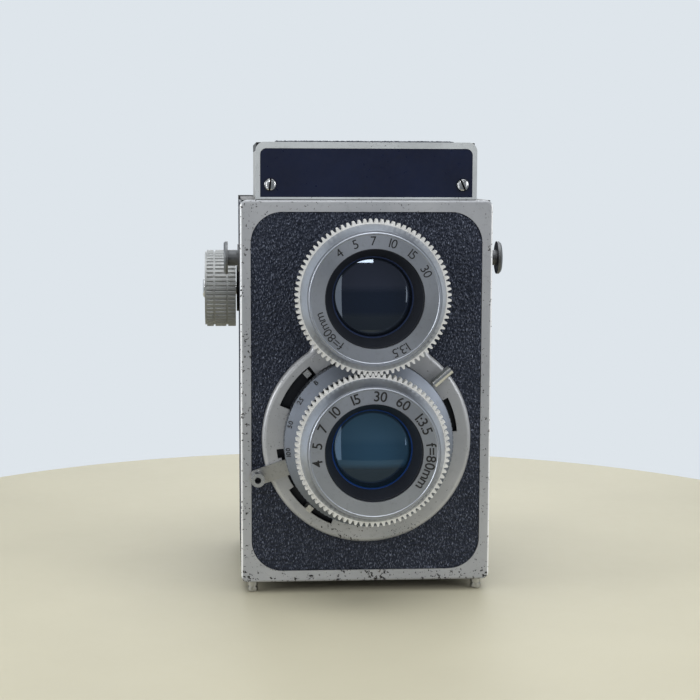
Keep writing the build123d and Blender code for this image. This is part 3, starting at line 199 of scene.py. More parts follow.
class Graph(Tree):
    """The material of one part, round one Principled shader."""

    def __init__(self, name: str, low: Vector, high: Vector) -> None:
        """Start a material with a shader and the object's own coordinates.

        Args:
            name: The material's name.
            low: The lowest corner of the part's box.
            high: Its highest corner.
        """
        self.low, self.high, self.centre = low, high, (low + high) / 2
        self.material = bpy.data.materials.new(name)
        self.material.use_nodes = True
        super().__init__(self.material.node_tree)
        self.shader = self.node("BsdfPrincipled", {})
        self.node("OutputMaterial", {0: self.shader.outputs[0]})
        self.place = self.add("TexCoord", {}, "Object")

    def surface(self, **values: Input) -> None:
        """Feed the shader, with underscores for the spaces of its sockets' names.

        Args:
            **values: A value for each socket.
        """
        for key, value in values.items():
            self.feed(self.shader.inputs[key.replace("_", " ")], value)

    def times(self, first: Input, second: Input) -> Input:
        """Multiply two numbers."""
        return self.maths("MULTIPLY", first, second)

    def noise(self, size: float, detail: float, rough: float = 0.5, place: Input | None = None) -> Input:
        """Add a noise whose features are about a given size.

        Args:
            size: The features' size in metres.
            detail: How many finer layers it has.
            rough: The weight of the finer layers.
            place: The coordinates, or None for the object's own.

        Returns:
            The noise's factor.
        """
        inputs = {"Vector": place or self.place, "Scale": 1 / size, "Detail": detail, "Roughness": rough}
        return self.add("TexNoise", inputs)

    def cells(self, size: float, place: Input) -> Input:
        """Add a pattern of cells of about a given size, and give the distance from their middles."""
        return self.add("TexVoronoi", {"Vector": place, "Scale": 1 / size}, out="Distance", feature="F1")

    def patches(self, size: float, detail: float, low: float, high: float, rough: float = 0.5) -> Input:
        """Add soft patches, which are 0 where a noise is below low and 1 where it is above high.

        Args:
            size: The patches' size in metres.
            detail: How many finer layers they have.
            low: The noise's value where they start.
            high: Its value where they are full.
            rough: The weight of the finer layers.

        Returns:
            The patches' mask.
        """
        return self.between(self.noise(size, detail, rough), low, high)

    def mix(self, share: Input, first: Input, second: Input) -> Input:
        """Mix two colours by a share of the second."""
        return self.add("Mix", {0: share, 6: first, 7: second}, out=2, data_type="RGBA")

    def stretch(self, scale: Triple, turn: Triple = (0, 0, 0), move: Triple = (0, 0, 0)) -> Input:
        """Give the object's coordinates moved, turned and scaled."""
        inputs = {"Vector": self.place, "Location": move, "Rotation": turn, "Scale": scale}
        return self.add("Mapping", inputs)

    def radius(self, way: str) -> Input:
        """Give the distance from the part's own axis, which runs along X, Y or Z."""
        flat = tuple(float(letter != way) for letter in "XYZ")
        offset = self.stretch(flat, move=tuple(-share * place for share, place in zip(flat, self.centre)))
        return self.add("VectorMath", {0: offset}, out="Value", operation="LENGTH")

    def axes(self) -> tuple[Input, ...]:
        """Give the object's X, Y and Z coordinates one by one."""
        return self.split(self.place)

    def relief(self, height: Input, depth: float, under: Input | None = None) -> Input:
        """Add a bump of a given depth and give its normal.

        Args:
            height: The pattern, from 0 to 1.
            depth: Its depth in metres.
            under: A normal that it stands on.

        Returns:
            The normal.
        """
        inputs: dict[str | int, Input] = {"Height": height, "Distance": depth}
        if under is not None:
            inputs["Normal"] = under
        return self.add("Bump", inputs)


@dataclass(frozen=True)
class Finish(ABC):
    """A finish, which makes a material of its own for each part that wears it."""

    name: str

    @abstractmethod
    def wire(self, graph: Graph) -> None:
        """Wire the shader of a part's material.

        Args:
            graph: The material being made.
        """

    def make(self, low: Vector, high: Vector) -> bpy.types.Material:
        """Make the material for a part that fills a box.

        Args:
            low: The box's lowest corner.
            high: Its highest corner.

        Returns:
            The material.
        """
        graph = Graph(self.name, low, high)
        self.wire(graph)
        return graph.material


@dataclass(frozen=True)
class Wear:
    """Where paint is chipped: how much everywhere, and how much more near each edge of the part."""

    base: float = 0.02
    left: float = 0.0
    right: float = 0.0
    bottom: float = 0.0
    top: float = 0.0
    reach: float = 3.5 * MM

    def edges(self) -> tuple[tuple[int, int, float], ...]:
        """List each edge as its axis, its side and its amount."""
        return (X, -1, self.left), (X, 1, self.right), (Z, -1, self.bottom), (Z, 1, self.top)


@dataclass(frozen=True)
class Paint(Finish):
    """Stoved paint over metal, with a fine grain, a soft mottle, grime and chips down to dark metal.

    A chip shows where a noise is above the hold, and wear lowers the hold by up to the give. Behind the
    recess's depth, and further from the part's edges than the border, the paint is black as a painted
    shade, and a painted highlight can brighten the front corners of the left and right edges.
    """

    colour: Colour
    shade: Colour
    roughness: float = 0.42
    metallic: float = 0.0
    coat: float = 0.0
    grain: float = 0.012 * MM
    wear: Wear = Wear()
    chip: Colour = linear(40, 38, 38)
    rust: Colour = linear(96, 72, 56)
    chip_size: float = 0.6 * MM
    chip_depth: float = 0.05 * MM
    chip_edge: float = 60.0
    chip_roughness: float = 0.6
    hold: float = 0.715
    give: float = 0.16
    patchy: tuple[float, float] = (0.6, 1.3)
    grime: float = 0.45
    # painted shade: the floor behind the front face is black, inside a border from the part's edges
    recess: float = 0.0
    border: float = 2.2 * MM
    fade: float = 0.1 * MM
    dark: Colour = (0.006, 0.008, 0.014)
    # painted highlight along the front corners of the left and right edges: its width and its colour
    edge_highlight_width: float = 0.0
    edge_highlight_colour: Colour = linear(248, 250, 252)
    specular: float = 0.5

    def damage(self, graph: Graph) -> Input:
        """Make the mask of the chips.

        Args:
            graph: The material being made.

        Returns:
            A mask that is 1 where the paint is gone.
        """
        places = graph.axes()
        amount: Input = self.wear.base
        for axis, side, share in self.wear.edges():
            if share > 0:
                edge = (graph.low if side < 0 else graph.high)[axis]
                near = graph.between(places[axis], edge - side * self.wear.reach, edge)
                amount = graph.maths("ADD", amount, graph.times(near, share))
        amount = graph.times(amount, graph.blend(graph.patches(9 * MM, 2, 0.42, 0.66), *self.patchy))
        limit = graph.maths("SUBTRACT", self.hold, graph.times(amount, self.give))
        above = graph.maths("SUBTRACT", graph.noise(self.chip_size, 4, 0.62), limit)
        return graph.maths("MULTIPLY", above, self.chip_edge, clamp=True)

    def paint_recess_shade(self, graph: Graph, colour: Input) -> Input:
        """Paint shade: blacken what lies behind the front face, away from the part's outer edges.

        Args:
            graph: The material being made.
            colour: The paint's colour.

        Returns:
            The colour, black with the painted shade in the recess.
        """
        across, deep, up = graph.axes()
        start = graph.low.y + self.recess
        inside = graph.between(deep, start, start + self.fade)
        for place, edge, side in ((across, graph.low.x, 1), (across, graph.high.x, -1),
                                  (up, graph.low.z, 1), (up, graph.high.z, -1)):
            inner = edge + side * self.border
            inside = graph.times(inside, graph.between(place, inner - side * self.fade, inner))
        return graph.mix(inside, colour, self.dark)

    def paint_edge_highlights(self, graph: Graph, colour: Input) -> Input:
        """Paint a highlight on the front corners of the left and right edges.

        Args:
            graph: The material being made.
            colour: The paint's colour.

        Returns:
            The colour, with the painted highlight on the two corners.
        """
        across, deep, _ = graph.axes()
        left = graph.between(across, graph.low.x + self.edge_highlight_width, graph.low.x + self.edge_highlight_width * 0.5)
        right = graph.between(across, graph.high.x - self.edge_highlight_width, graph.high.x - self.edge_highlight_width * 0.5)
        front = graph.between(deep, graph.low.y + self.edge_highlight_width, graph.low.y + self.edge_highlight_width * 0.7)
        return graph.mix(graph.times(graph.maths("MAXIMUM", left, right), front), colour, self.edge_highlight_colour)

    def wire(self, graph: Graph) -> None:
        """Lay the paint on, dirty it, and take the chips out of it.

        Args:
            graph: The material being made.
        """
        colour = graph.mix(graph.patches(14 * MM, 4, 0.3, 0.7), self.colour, self.shade)
        dirt = graph.times(graph.patches(2.2 * MM, 5, 0.56, 0.78, rough=0.7), self.grime)
        colour = graph.mix(dirt, colour, dim(self.shade, 0.55))
        # painted shade, black in the recess behind the front face
        if self.recess:
            colour = self.paint_recess_shade(graph, colour)
        # painted highlight on the front corners of the left and right edges
        if self.edge_highlight_width:
            colour = self.paint_edge_highlights(graph, colour)
        chips = self.damage(graph)
        bare = graph.mix(graph.patches(5 * MM, 2, 0.62, 0.72), self.chip, self.rust)
        rough = graph.blend(graph.noise(1.5 * MM, 3), self.roughness - 0.08, self.roughness + 0.1)
        skin = graph.relief(graph.noise(0.35 * MM, 2), self.grain)
        graph.surface(Base_Color=graph.mix(chips, colour, bare), Metallic=self.metallic,
                      Roughness=graph.blend(chips, rough, self.chip_roughness),
                      Normal=graph.relief(graph.maths("SUBTRACT", 1.0, chips), self.chip_depth, under=skin),
                      Coat_Weight=self.coat, Coat_Roughness=0.08, Specular_IOR_Level=self.specular)


@dataclass(frozen=True)
class Metal(Finish):
    """Bare, plated or anodised metal with tool marks, smears and dull spots, and black painted shade behind
    a given depth.
    """

    colour: Colour
    roughness: float
    grain: Grain = Grain.CAST
    line: float = 0.3 * MM
    depth: float = 0.006 * MM
    stain: Colour = linear(96, 92, 86)
    stains: float = 0.3
    metallic: float = 1.0
    # painted shade: the metal is black behind this depth, softened over the fade, for what lies down in
    # slots
    shade_behind: float = 0.0
    fade: float = 0.1 * MM
    dark: Colour = (0.01, 0.01, 0.011)
    drawn: float = 0.65

    def marks(self, graph: Graph) -> Input:
        """Make the tool marks, which run round the part's own axis if it was turned.

        Args:
            graph: The material being made.

        Returns:
            Their height, from 0 to 1.
        """
        if self.grain is Grain.CAST:
            return graph.noise(self.line * 2, 3)
        inputs = {"W": graph.radius(self.grain.value), "Scale": 1 / self.line, "Detail": 3.0,
                  "Roughness": 0.7}
        return graph.add("TexNoise", inputs, noise_dimensions="1D")

    def wire(self, graph: Graph) -> None:
        """Cut the tool marks and smear and stain the metal.

        Args:
            graph: The material being made.
        """
        marks = self.marks(graph)
        smear = graph.patches(7 * MM, 3, 0.35, 0.7)
        dull = graph.times(graph.patches(1.3 * MM, 5, 0.55, 0.75, rough=0.7), self.stains)
        colour = graph.mix(dull, graph.mix(smear, self.colour, dim(self.colour, 0.88)), self.stain)
        if self.shade_behind:
            # painted shade, black behind the given depth
            slot_shade = graph.between(graph.axes()[Y], self.shade_behind - self.fade, self.shade_behind)
            colour = graph.mix(slot_shade, colour, self.dark)
        rough = graph.blend(marks, self.roughness - 0.06, self.roughness + 0.1)
        graph.surface(Base_Color=colour, Roughness=graph.maths("ADD", rough, graph.times(smear, 0.07)),
                      Metallic=self.metallic, Normal=graph.relief(marks, self.depth))
        if self.grain is not Grain.CAST:
            tangent = graph.add("Tangent", {}, direction_type="RADIAL", axis=self.grain.value)
            graph.surface(Anisotropic=self.drawn, Tangent=tangent)


@dataclass(frozen=True)
class Pebble(Finish):
    """The grain of the leather cloth: pebbles drawn out along one way, in real relief and in fine bump.

    The axis and the side say which way the cloth faces, so its pale specks, painted highlights, can lie
    brightest on the pebbles' tops.
    """

    name: str = "leather_cloth"
    colour: Colour = linear(12, 17, 30)
    # the colour of the painted highlights on the pebbles
    light: Colour = linear(118, 125, 142)
    sheen_tint: Colour = (0.7, 0.78, 1.0)
    roughness: float = 0.38
    size: float = 0.78 * MM
    draw: float = 1.5
    fleck: float = 0.24 * MM
    fleck_draw: float = 3.4
    fleck_edge: tuple[float, float] = (0.57, 0.66)
    lean: float = math.radians(24)
    depth: float = 0.34 * MM
    crest: float = 4.6
    crease: float = 0.22 * MM
    crease_depth: float = 0.03 * MM
    pore: float = 0.45
    pore_depth: float = 0.12 * MM
    axis: int = Y
    side: int = -1

    def wire(self, graph: Graph) -> None:
        """Paint highlight specks on the cloth, roughen it and crease it.

        Args:
            graph: The material being made.
        """
        span = graph.high - graph.low
        lean = (0, -self.lean, 0) if span.y < span.x else (self.lean, 0, 0)
        place = graph.stretch((1, 1, 1 / self.draw), turn=lean)
        streak = graph.stretch((1, 1, 1 / self.fleck_draw), turn=lean)
        outer = (graph.high if self.side > 0 else graph.low)[self.axis]
        raised = graph.between(graph.axes()[self.axis], outer - self.side * self.depth, outer)
        # painted highlights: pale specks, brightest on the raised pebble tops
        highlight_flecks = graph.between(graph.noise(self.fleck, 1, place=streak), *self.fleck_edge)
        highlight_flecks = graph.times(highlight_flecks, graph.blend(raised, 0.4, 1.0))
        highlight_flecks = graph.times(highlight_flecks, graph.blend(graph.patches(16 * MM, 4, 0.4, 0.75), 0.75, 1.0))
        rough = graph.blend(graph.noise(2 * MM, 3), self.roughness - 0.1, self.roughness + 0.12)
        creases = graph.relief(graph.noise(self.crease, 3, place=place), self.crease_depth)
        pores = graph.relief(graph.cells(self.size * self.pore, place), self.pore_depth, under=creases)
        graph.surface(Base_Color=graph.mix(highlight_flecks, self.colour, self.light), Roughness=rough, Normal=pores,
                      Specular_IOR_Level=0.5, Specular_Tint=self.sheen_tint)


@dataclass(frozen=True)
class Clear(Finish):
    """Ground and polished glass, with a coating that tints what it reflects."""

    colour: Colour
    reflection: Colour = (0.62, 0.76, 1.0)
    roughness: float = 0.02
    level: float = 0.5
    haze: float = 0.03
    index: float = 1.52

    def wire(self, graph: Graph) -> None:
        """Clear the glass, but for a little haze.

        Args:
            graph: The material being made.
        """
        haze = graph.patches(3 * MM, 4, 0.5, 0.8, rough=0.7)
        graph.surface(Base_Color=self.colour, Transmission_Weight=1.0, IOR=self.index,
                      Roughness=graph.blend(haze, self.roughness, self.roughness + self.haze),
                      Specular_IOR_Level=self.level, Specular_Tint=self.reflection)


@dataclass(frozen=True)
class CoatingWithPaintedLight(Finish):
    """A coated lens painted as a deep dark pool: paler above with a painted reflection, darkest across its
    middle with painted shade, and with painted rings near its edge, a bright painted reflection between two
    dark rings of painted shade.

    The bands and the rings start and end at shares of the dome's radius: the bands above the middle, the
    rings out from the axis.
    """

    # the painted reflection above, the painted shade across the middle, and the tone below them
    upper_reflection: Colour
    middle: Colour
    lower: Colour
    # the bright painted ring, a painted reflection of an inner element's coated edge
    rim: Colour
    reflection: Colour
    level: float = 0.6
    bands: tuple[tuple[float, float], ...] = ((-0.42, -0.3), (0.1, 0.26))
    rings: tuple[tuple[float, float], ...] = ((0.77, 0.8), (0.83, 0.86), (0.865, 0.88))

    def wire(self, graph: Graph) -> None:
        """Lay the painted reflection and shade of the pool over one another, then its painted rings.

        Args:
            graph: The material being made.
        """
        reach = (graph.high.x - graph.low.x) / 2
        # the dark rings are painted shade inside the lens
        black = dim(self.middle, 0.25)
        colour: Input = self.lower
        layers = ((graph.axes()[Z], graph.centre.z, self.bands, (self.middle, self.upper_reflection)),
                  (graph.radius("Y"), 0.0, self.rings, (black, self.rim, black)))
        for place, start, edges, tones in layers:
            for (near, far), tone in zip(edges, tones):
                share = graph.between(place, start + near * reach, start + far * reach)
                colour = graph.mix(share, colour, tone)
        rough = graph.blend(graph.patches(4 * MM, 3, 0.5, 0.8), 0.02, 0.06)
        graph.surface(Base_Color=colour, Roughness=rough, Specular_IOR_Level=self.level,
                      Specular_Tint=self.reflection, Coat_Weight=0.2, Coat_Roughness=0.02)


@dataclass(frozen=True)
class Lacquer(Finish):
    """The cloudy satin lacquer of the table."""

    colour: Colour

    def wire(self, graph: Graph) -> None:
        """Cloud the lacquer and give it a fine skin.

        Args:
            graph: The material being made.
        """
        cloud = graph.patches(60 * MM, 3, 0.3, 0.7)
        graph.surface(Base_Color=graph.mix(cloud, self.colour, dim(self.colour, 0.94)),
                      Roughness=graph.blend(graph.noise(4 * MM, 3), 0.5, 0.62),
                      Normal=graph.relief(graph.noise(0.8 * MM, 2), 0.01 * MM), Specular_IOR_Level=0.3)


# --- the workbench: operators by which every new piece is made ---


def clear_selection() -> None:
    """Leave object mode's selection empty."""
    if bpy.context.mode != "OBJECT":
        bpy.ops.object.mode_set(mode="OBJECT")
    bpy.ops.object.select_all(action="DESELECT")


def hold(piece: bpy.types.Object) -> None:
    """Select one object alone and make it active."""
    clear_selection()
    piece.select_set(True)
    bpy.context.view_layer.objects.active = piece


def put_in(name: str, data: bpy.types.ID) -> bpy.types.Object:
    """Put a mesh, a light or a camera into the scene as an object of its own."""
    thing = bpy.data.objects.new(name, data)
    bpy.context.scene.collection.objects.link(thing)
    return thing


def open_up(piece: bpy.types.Object) -> None:
    """Open one object's mesh to be edited, with all of it selected."""
    hold(piece)
    bpy.ops.object.mode_set(mode="EDIT")
    bpy.ops.mesh.select_all(action="SELECT")


def settle(piece: bpy.types.Object, name: str) -> bpy.types.Object:
    """Name a piece, put its place into its mesh and leave its object at the origin.

    Args:
        piece: The piece.
        name: Its name.

    Returns:
        The same piece.
    """
    hold(piece)
    bpy.ops.object.transform_apply(location=True, rotation=True, scale=True)
    piece.name = name
    piece.data.name = name
    return piece


def mend(piece: bpy.types.Object, reach: float = 0.001 * MM) -> None:
    """Merge a piece's doubled points and turn its faces outwards."""
    open_up(piece)
    bpy.ops.mesh.remove_doubles(threshold=reach)
    bpy.ops.mesh.normals_make_consistent(inside=False)
    bpy.ops.object.mode_set(mode="OBJECT")


def smooth(piece: bpy.types.Object, degrees: float = 35.0) -> None:
    """Shade a piece smooth, with edges sharper than an angle kept."""
    hold(piece)
    bpy.ops.object.shade_smooth_by_angle(angle=math.radians(degrees))


def modify(piece: bpy.types.Object, kind: str, **settings: object) -> None:
    """Add a modifier to a piece and apply it.

    Args:
        piece: The piece.
        kind: The modifier's type.
        **settings: The modifier's own settings.
    """
    modifier = piece.modifiers.new(kind, kind)
    for key, value in settings.items():
        setattr(modifier, key, value)
    hold(piece)
    bpy.ops.object.modifier_apply(modifier=modifier.name)


def cut(piece: bpy.types.Object, other: bpy.types.Object, operation: str, solver: str) -> None:
    """Cut or trim a piece by another one, which is used up."""
    modify(piece, "BOOLEAN", object=other, operation=operation, solver=solver)
    bpy.data.objects.remove(other)


def join(pieces: Sequence[bpy.types.Object], name: str) -> bpy.types.Object:
    """Join pieces into one and settle it under its name."""
    hold(pieces[0])
    for piece in pieces[1:]:
        piece.select_set(True)
    bpy.ops.object.join()
    return settle(pieces[0], name)


def dress(piece: bpy.types.Object, material: bpy.types.Material) -> None:
    """Give a piece one material in every slot."""
    piece.data.materials.clear()
    piece.data.materials.append(material)


def box_of(piece: bpy.types.Object) -> tuple[Vector, Vector]:
    """Give the lowest and highest corner of a settled piece."""
    corners = [Vector(corner) for corner in piece.bound_box]
    low = Vector([min(corner[axis] for corner in corners) for axis in range(3)])
    high = Vector([max(corner[axis] for corner in corners) for axis in range(3)])
    return low, high


def axis_through(node: str, depth: float) -> Vector:
    """Give the point, at a depth along Y, of the axis that runs through a node from front to back."""
    low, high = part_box(node)
    return Vector(((low.x + high.x) / 2, depth, (low.z + high.z) / 2))


def fit_out(piece: bpy.types.Object, body: Body, finish: Finish) -> None:
    """Dress a finished piece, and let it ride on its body.

    Args:
        piece: The piece.
        body: The body that it moves with.
        finish: Its finish.
    """
    bpy.context.view_layer.update()
    dress(piece, finish.make(*box_of(piece)))
    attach(piece, body.value)
    log.info("%s: %d faces on %s", piece.name, len(piece.data.polygons), body.value)


def turn_profile(name: str, centre: Vector, steps: Sequence[tuple[float, float]],
                 sides: int) -> bpy.types.Object:
    """Make a turned piece from a disc that is drawn through a row of steps, as on a lathe.

    Args:
        name: The piece's name.
        centre: A point on its axis, in the plane from which heights are measured.
        steps: The radius and height of each step. Height runs towards -Y.
        sides: The number of its sides.

    Returns:
        The piece.
    """
    clear_selection()
    radius, height = steps[0]
    place = centre + Vector((0, -height, 0))
    bpy.ops.mesh.primitive_circle_add(vertices=sides, radius=radius, location=place,
                                      rotation=(math.pi / 2, 0, 0), fill_type="NOTHING")
    piece = settle(bpy.context.object, name)
    open_up(piece)
    bpy.ops.mesh.edge_face_add()
    for (old_r, old_h), (new_r, new_h) in pairwise(steps):
        bpy.ops.mesh.extrude_region_move(TRANSFORM_OT_translate={"value": (0, old_h - new_h, 0)})
        share = new_r / old_r
        bpy.ops.transform.resize(value=(share, 1, share), center_override=centre)
    bpy.ops.object.mode_set(mode="OBJECT")
    mend(piece)
    smooth(piece)
    return piece


# --- sub-assemblies ---


@dataclass
class LeatherSheet:
    """A glued sheet of pebbled leather cloth that stands for a plain CAD sheet.

    Its pebbles are real relief. They go inwards only, so the sheet stays in the space of the CAD one. The
    axis and the side say which way it faces. One of a node's pair of sheets is as thick as pair_thick.
    """

    name: str
    node: str
    body: Body
    axis: int
    side: int
    cell: float = 0.3 * MM
    paired: bool = False
    pair_thick: float = 0.6 * MM
    finish: Pebble = Pebble()
    pebble_share: float = 0.85
    fold_size: float = 1.3
    top_level: float = 1.02

    def span(self) -> tuple[Vector, Vector]:
        """Give the corners of the sheet: the CAD node's box, or one side of it where the node is a pair."""
        low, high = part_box(self.node)
        if self.paired and self.side < 0:
            high[self.axis] = low[self.axis] + self.pair_thick
        elif self.paired:
            low[self.axis] = high[self.axis] - self.pair_thick
        return low, high

    def blank(self, low: Vector, high: Vector) -> bpy.types.Object:
        """Make a slab of fine squares over the sheet's box, with its outer face in a group of its own.

        Args:
            low: The box's lowest corner.
            high: Its highest corner.

        Returns:
            The slab, a little larger than the sheet so that the outline can be cut from it.
        """
        span = high - low
        turn, wide, tall = {X: ((0, math.pi / 2, 0), span.z, span.y),
                            Y: ((math.pi / 2, 0, 0), span.x, span.z),
                            Z: ((0, 0, 0), span.x, span.y)}[self.axis]
        margin = 2 * self.cell
        wide, tall = wide + margin, tall + margin
        middle = (low + high) / 2
        middle[self.axis] = high[self.axis] if self.side > 0 else low[self.axis]
        clear_selection()
        bpy.ops.mesh.primitive_grid_add(x_subdivisions=round(wide / self.cell),
                                        y_subdivisions=round(tall / self.cell), size=1)
        sheet = bpy.context.object
        sheet.scale = (wide, tall, 1)
        bpy.ops.object.transform_apply(location=False, rotation=False, scale=True)
        sheet.rotation_euler = turn
        sheet.location = middle
        settle(sheet, self.name)
        outer = sheet.vertex_groups.new(name="outer")
        outer.add([point.index for point in sheet.data.vertices], 1.0, "REPLACE")
        open_up(sheet)
        step = Vector((0, 0, 0))
        step[self.axis] = -self.side * (span[self.axis] + self.finish.depth)
        bpy.ops.mesh.extrude_region_move(TRANSFORM_OT_translate={"value": step})
        bpy.ops.object.vertex_group_remove_from()
        bpy.ops.object.mode_set(mode="OBJECT")
        return sheet

    def press(self, sheet: bpy.types.Object) -> None:
        """Press the pebbles into the outer face.

        Args:
            sheet: The blank slab.
        """
        clear_selection()
        bpy.ops.object.empty_add()
        guide = bpy.context.object
        lean, draw = self.finish.lean, self.finish.draw
        turn, stretch = {X: ((lean, 0, 0), (1, 1, draw)), Y: ((0, lean, 0), (1, 1, draw)),
                         Z: ((0, 0, lean), (1, draw, 1))}[self.axis]
        guide.rotation_euler = turn
        guide.scale = Vector(stretch) * self.finish.size
        bpy.context.view_layer.update()
        pebbles = bpy.data.textures.new("pebbles", "VORONOI")
        pebbles.noise_scale = 1.0
        pebbles.weight_1, pebbles.weight_2 = -1.0, 1.0
        pebbles.noise_intensity = self.finish.crest
        folds = bpy.data.textures.new("folds", "CLOUDS")
        folds.noise_scale = self.fold_size
        for texture, share in ((pebbles, self.pebble_share), (folds, 1 - self.pebble_share)):
            modify(sheet, "DISPLACE", texture=texture, texture_coords="OBJECT", texture_coords_object=guide,
                   direction="XYZ"[self.axis], vertex_group="outer", mid_level=self.top_level,
                   strength=self.finish.depth * share * self.side)
        bpy.data.objects.remove(guide)

    def build(self) -> None:
        """Make the sheet, cut it to the CAD sheet's outline and dress it."""
        sheet = self.blank(*self.span())
        self.press(sheet)
        outline = put_in("outline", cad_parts[self.node].data.copy())
        mend(outline)
        cut(sheet, outline, "INTERSECT", "MANIFOLD")
        sheet.vertex_groups.clear()
        smooth(sheet, degrees=50)
        fit_out(sheet, self.body, replace(self.finish, axis=self.axis, side=self.side))
        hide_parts(self.node)


@dataclass
class Studio:
    """The round table, the pale surroundings, the soft lights and the camera."""

    table_radius: float = 195 * MM
    table_depth: float = 30 * MM
    table_edge: float = 5 * MM
    table_centre: tuple[float, float] = (-1.5 * MM, 8 * MM)
    table_finish: Finish = Lacquer("table_lacquer", linear(198, 194, 172))
    backdrop: Colour = linear(222, 229, 235)
    ambient: float = 0.46
    front_room: float = 0.26
    room_ends: tuple[float, float] = (-0.75, 0.35)
    eye: Triple = (-39.13 * MM, -487.74 * MM, 118.10 * MM)
    yaw: float = math.radians(-4.343)
    pitch: float = math.radians(6.375)
    roll: float = math.radians(-0.185)
    lens: float = 82.27
    sensor: float = 36.0
    near: float = 10 * MM
    lamps: tuple[tuple[str, Triple, tuple[float, float], float], ...] = (
        ("overhead", (0.05, -0.12, 0.75), (0.7, 0.7), 3.1),
        ("window_left", (-0.85, -0.3, 0.3), (0.4, 0.4), 2.6),
        ("window_right", (0.8, -0.5, 0.35), (0.5, 0.5), 2.2),
        ("high_front", (-0.05, -1.25, 0.66), (0.34, 0.06), 1.3),
        ("strip_left", (-0.5, -1.12, 0.02), (0.16, 1.0), 1.2),
        ("strip_right", (0.66, -1.0, 0.16), (0.09, 0.5), 0.5),
        ("rear_fill", (0.1, 0.8, 0.5), (0.6, 0.6), 1.8),
    )

    def table(self) -> None:
        """Make the round table top that the camera stands on."""
        clear_selection()
        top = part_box("feet")[0].z
        place = (*self.table_centre, top - self.table_depth / 2)
        bpy.ops.mesh.primitive_cylinder_add(vertices=256, radius=self.table_radius, depth=self.table_depth,
                                            location=place, end_fill_type="NGON")
        table = settle(bpy.context.object, "table_top")
        modify(table, "BEVEL", width=self.table_edge, segments=6, limit_method="ANGLE")
        smooth(table, degrees=40)
        dress(table, self.table_finish.make(*box_of(table)))

    def surroundings(self) -> None:
        """Make the world: an even light of its own, and a pale backdrop to look at and to reflect.

        Metal and glass reflect a dim room in front of the object and the pale backdrop behind it.
        """
        world = bpy.data.worlds.new("pale_room")
        bpy.context.scene.world = world
        world.use_nodes = True
        tree = Tree(world.node_tree)
        rays = tree.node("LightPath", {}).outputs
        glossy = rays["Is Glossy Ray"]
        seen = tree.maths("MAXIMUM", rays["Is Camera Ray"], glossy)
        seen = tree.maths("MAXIMUM", seen, rays["Is Transmission Ray"])
        behind = tree.split(tree.add("TexCoord", {}, "Generated"))[Y]
        strength = tree.blend(glossy, 1.0, tree.between(behind, *self.room_ends, least=self.front_room))
        light = tree.add("Background", {"Color": (1, 1, 1), "Strength": self.ambient})
        pale = tree.add("Background", {"Color": self.backdrop, "Strength": strength})
        tree.node("OutputWorld", {0: tree.add("MixShader", {0: seen, 1: light, 2: pale})})

    def lamp(self, name: str, place: Sequence[float], size: tuple[float, float], power: float) -> None:
        """Add a soft lamp that looks at the middle of the object.

        Args:
            name: The lamp's name.
            place: Where it hangs.
            size: Its width and height.
            power: Its power in watts.
        """
        data = bpy.data.lights.new(name, "AREA")
        data.shape, data.energy = "RECTANGLE", power
        data.size, data.size_y = size
        lamp = put_in(name, data)
        lamp.location = place
        aim = (CAD_BOX[0] + CAD_BOX[1]) / 2 - Vector(place)
        lamp.rotation_euler = aim.to_track_quat("-Z", "Y").to_euler()

    def camera(self) -> None:
        """Make the camera and look through it."""
        data = bpy.data.cameras.new("view")
        data.lens, data.sensor_width, data.clip_start = self.lens, self.sensor, self.near
        camera = put_in("view", data)
        turn = Matrix.Rotation(self.yaw, 4, "Z") @ Matrix.Rotation(math.pi / 2 - self.pitch, 4, "X")
        camera.matrix_world = Matrix.Translation(self.eye) @ turn @ Matrix.Rotation(-self.roll, 4, "Z")
        bpy.context.scene.camera = camera

    def build(self) -> None:
        """Set the whole studio up."""
        bpy.context.scene.view_settings.view_transform = "Standard"
        self.table()
        self.surroundings()
        for name, place, size, power in self.lamps:
            self.lamp(name, place, size, power)
        self.camera()


@dataclass
class Legend:
    """Rows of plain characters round an axis, with their tops outwards, each row at an angle in degrees."""

    name: str
    body: Body
    centre: Vector
    radius: float
    height: float
    size: float
    weight: float
    rows: Rows
    finish: Finish
    tilt: float = 0.0
    gap: float = 0.22 * MM
    thick: float = 0.06 * MM

    def sign(self, character: str) -> bpy.types.Object:
        """Make one character as a flat raised mesh.

        Args:
            character: The character.

        Returns:
            Its object, centred on its own width.
        """
        clear_selection()
        bpy.ops.object.text_add()
        text = bpy.context.object
        text.data.body = character
        text.data.size = self.size
        text.data.offset = self.weight
        text.data.extrude = self.thick / 2
        text.data.resolution_u = 6
        text.data.align_x, text.data.align_y = "CENTER", "CENTER"
        bpy.ops.object.convert(target="MESH")
        return bpy.context.object

    def stand(self, sign: bpy.types.Object, angle: float) -> None:
        """Stand one character at its angle round the axis.

        Args:
            sign: The character.
            angle: The angle from +X towards +Z.
        """
        out = Vector((math.cos(angle), 0, math.sin(angle)))
        place = self.centre + out * self.radius + Vector((0, -self.height, 0))
        upright = Matrix.Rotation(math.pi / 2 + self.tilt, 4, "X")
        round_axis = Matrix.Rotation(math.pi / 2 - angle, 4, "Y")
        sign.matrix_world = Matrix.Translation(place) @ round_axis @ upright

    def build(self) -> None:
        """Set all the rows and join them into one piece."""
        signs: list[bpy.types.Object] = []
        for text, middle in self.rows:
            row = [self.sign(character) for character in text]
            widths = [sign.dimensions.x + self.gap for sign in row]
            angle = math.radians(middle) + sum(widths) / self.radius / 2
            for sign, width in zip(row, widths):
                self.stand(sign, angle - width / self.radius / 2)
                angle -= width / self.radius
            signs += row
        piece = join(signs, self.name)
        mend(piece)
        fit_out(piece, self.body, self.finish)


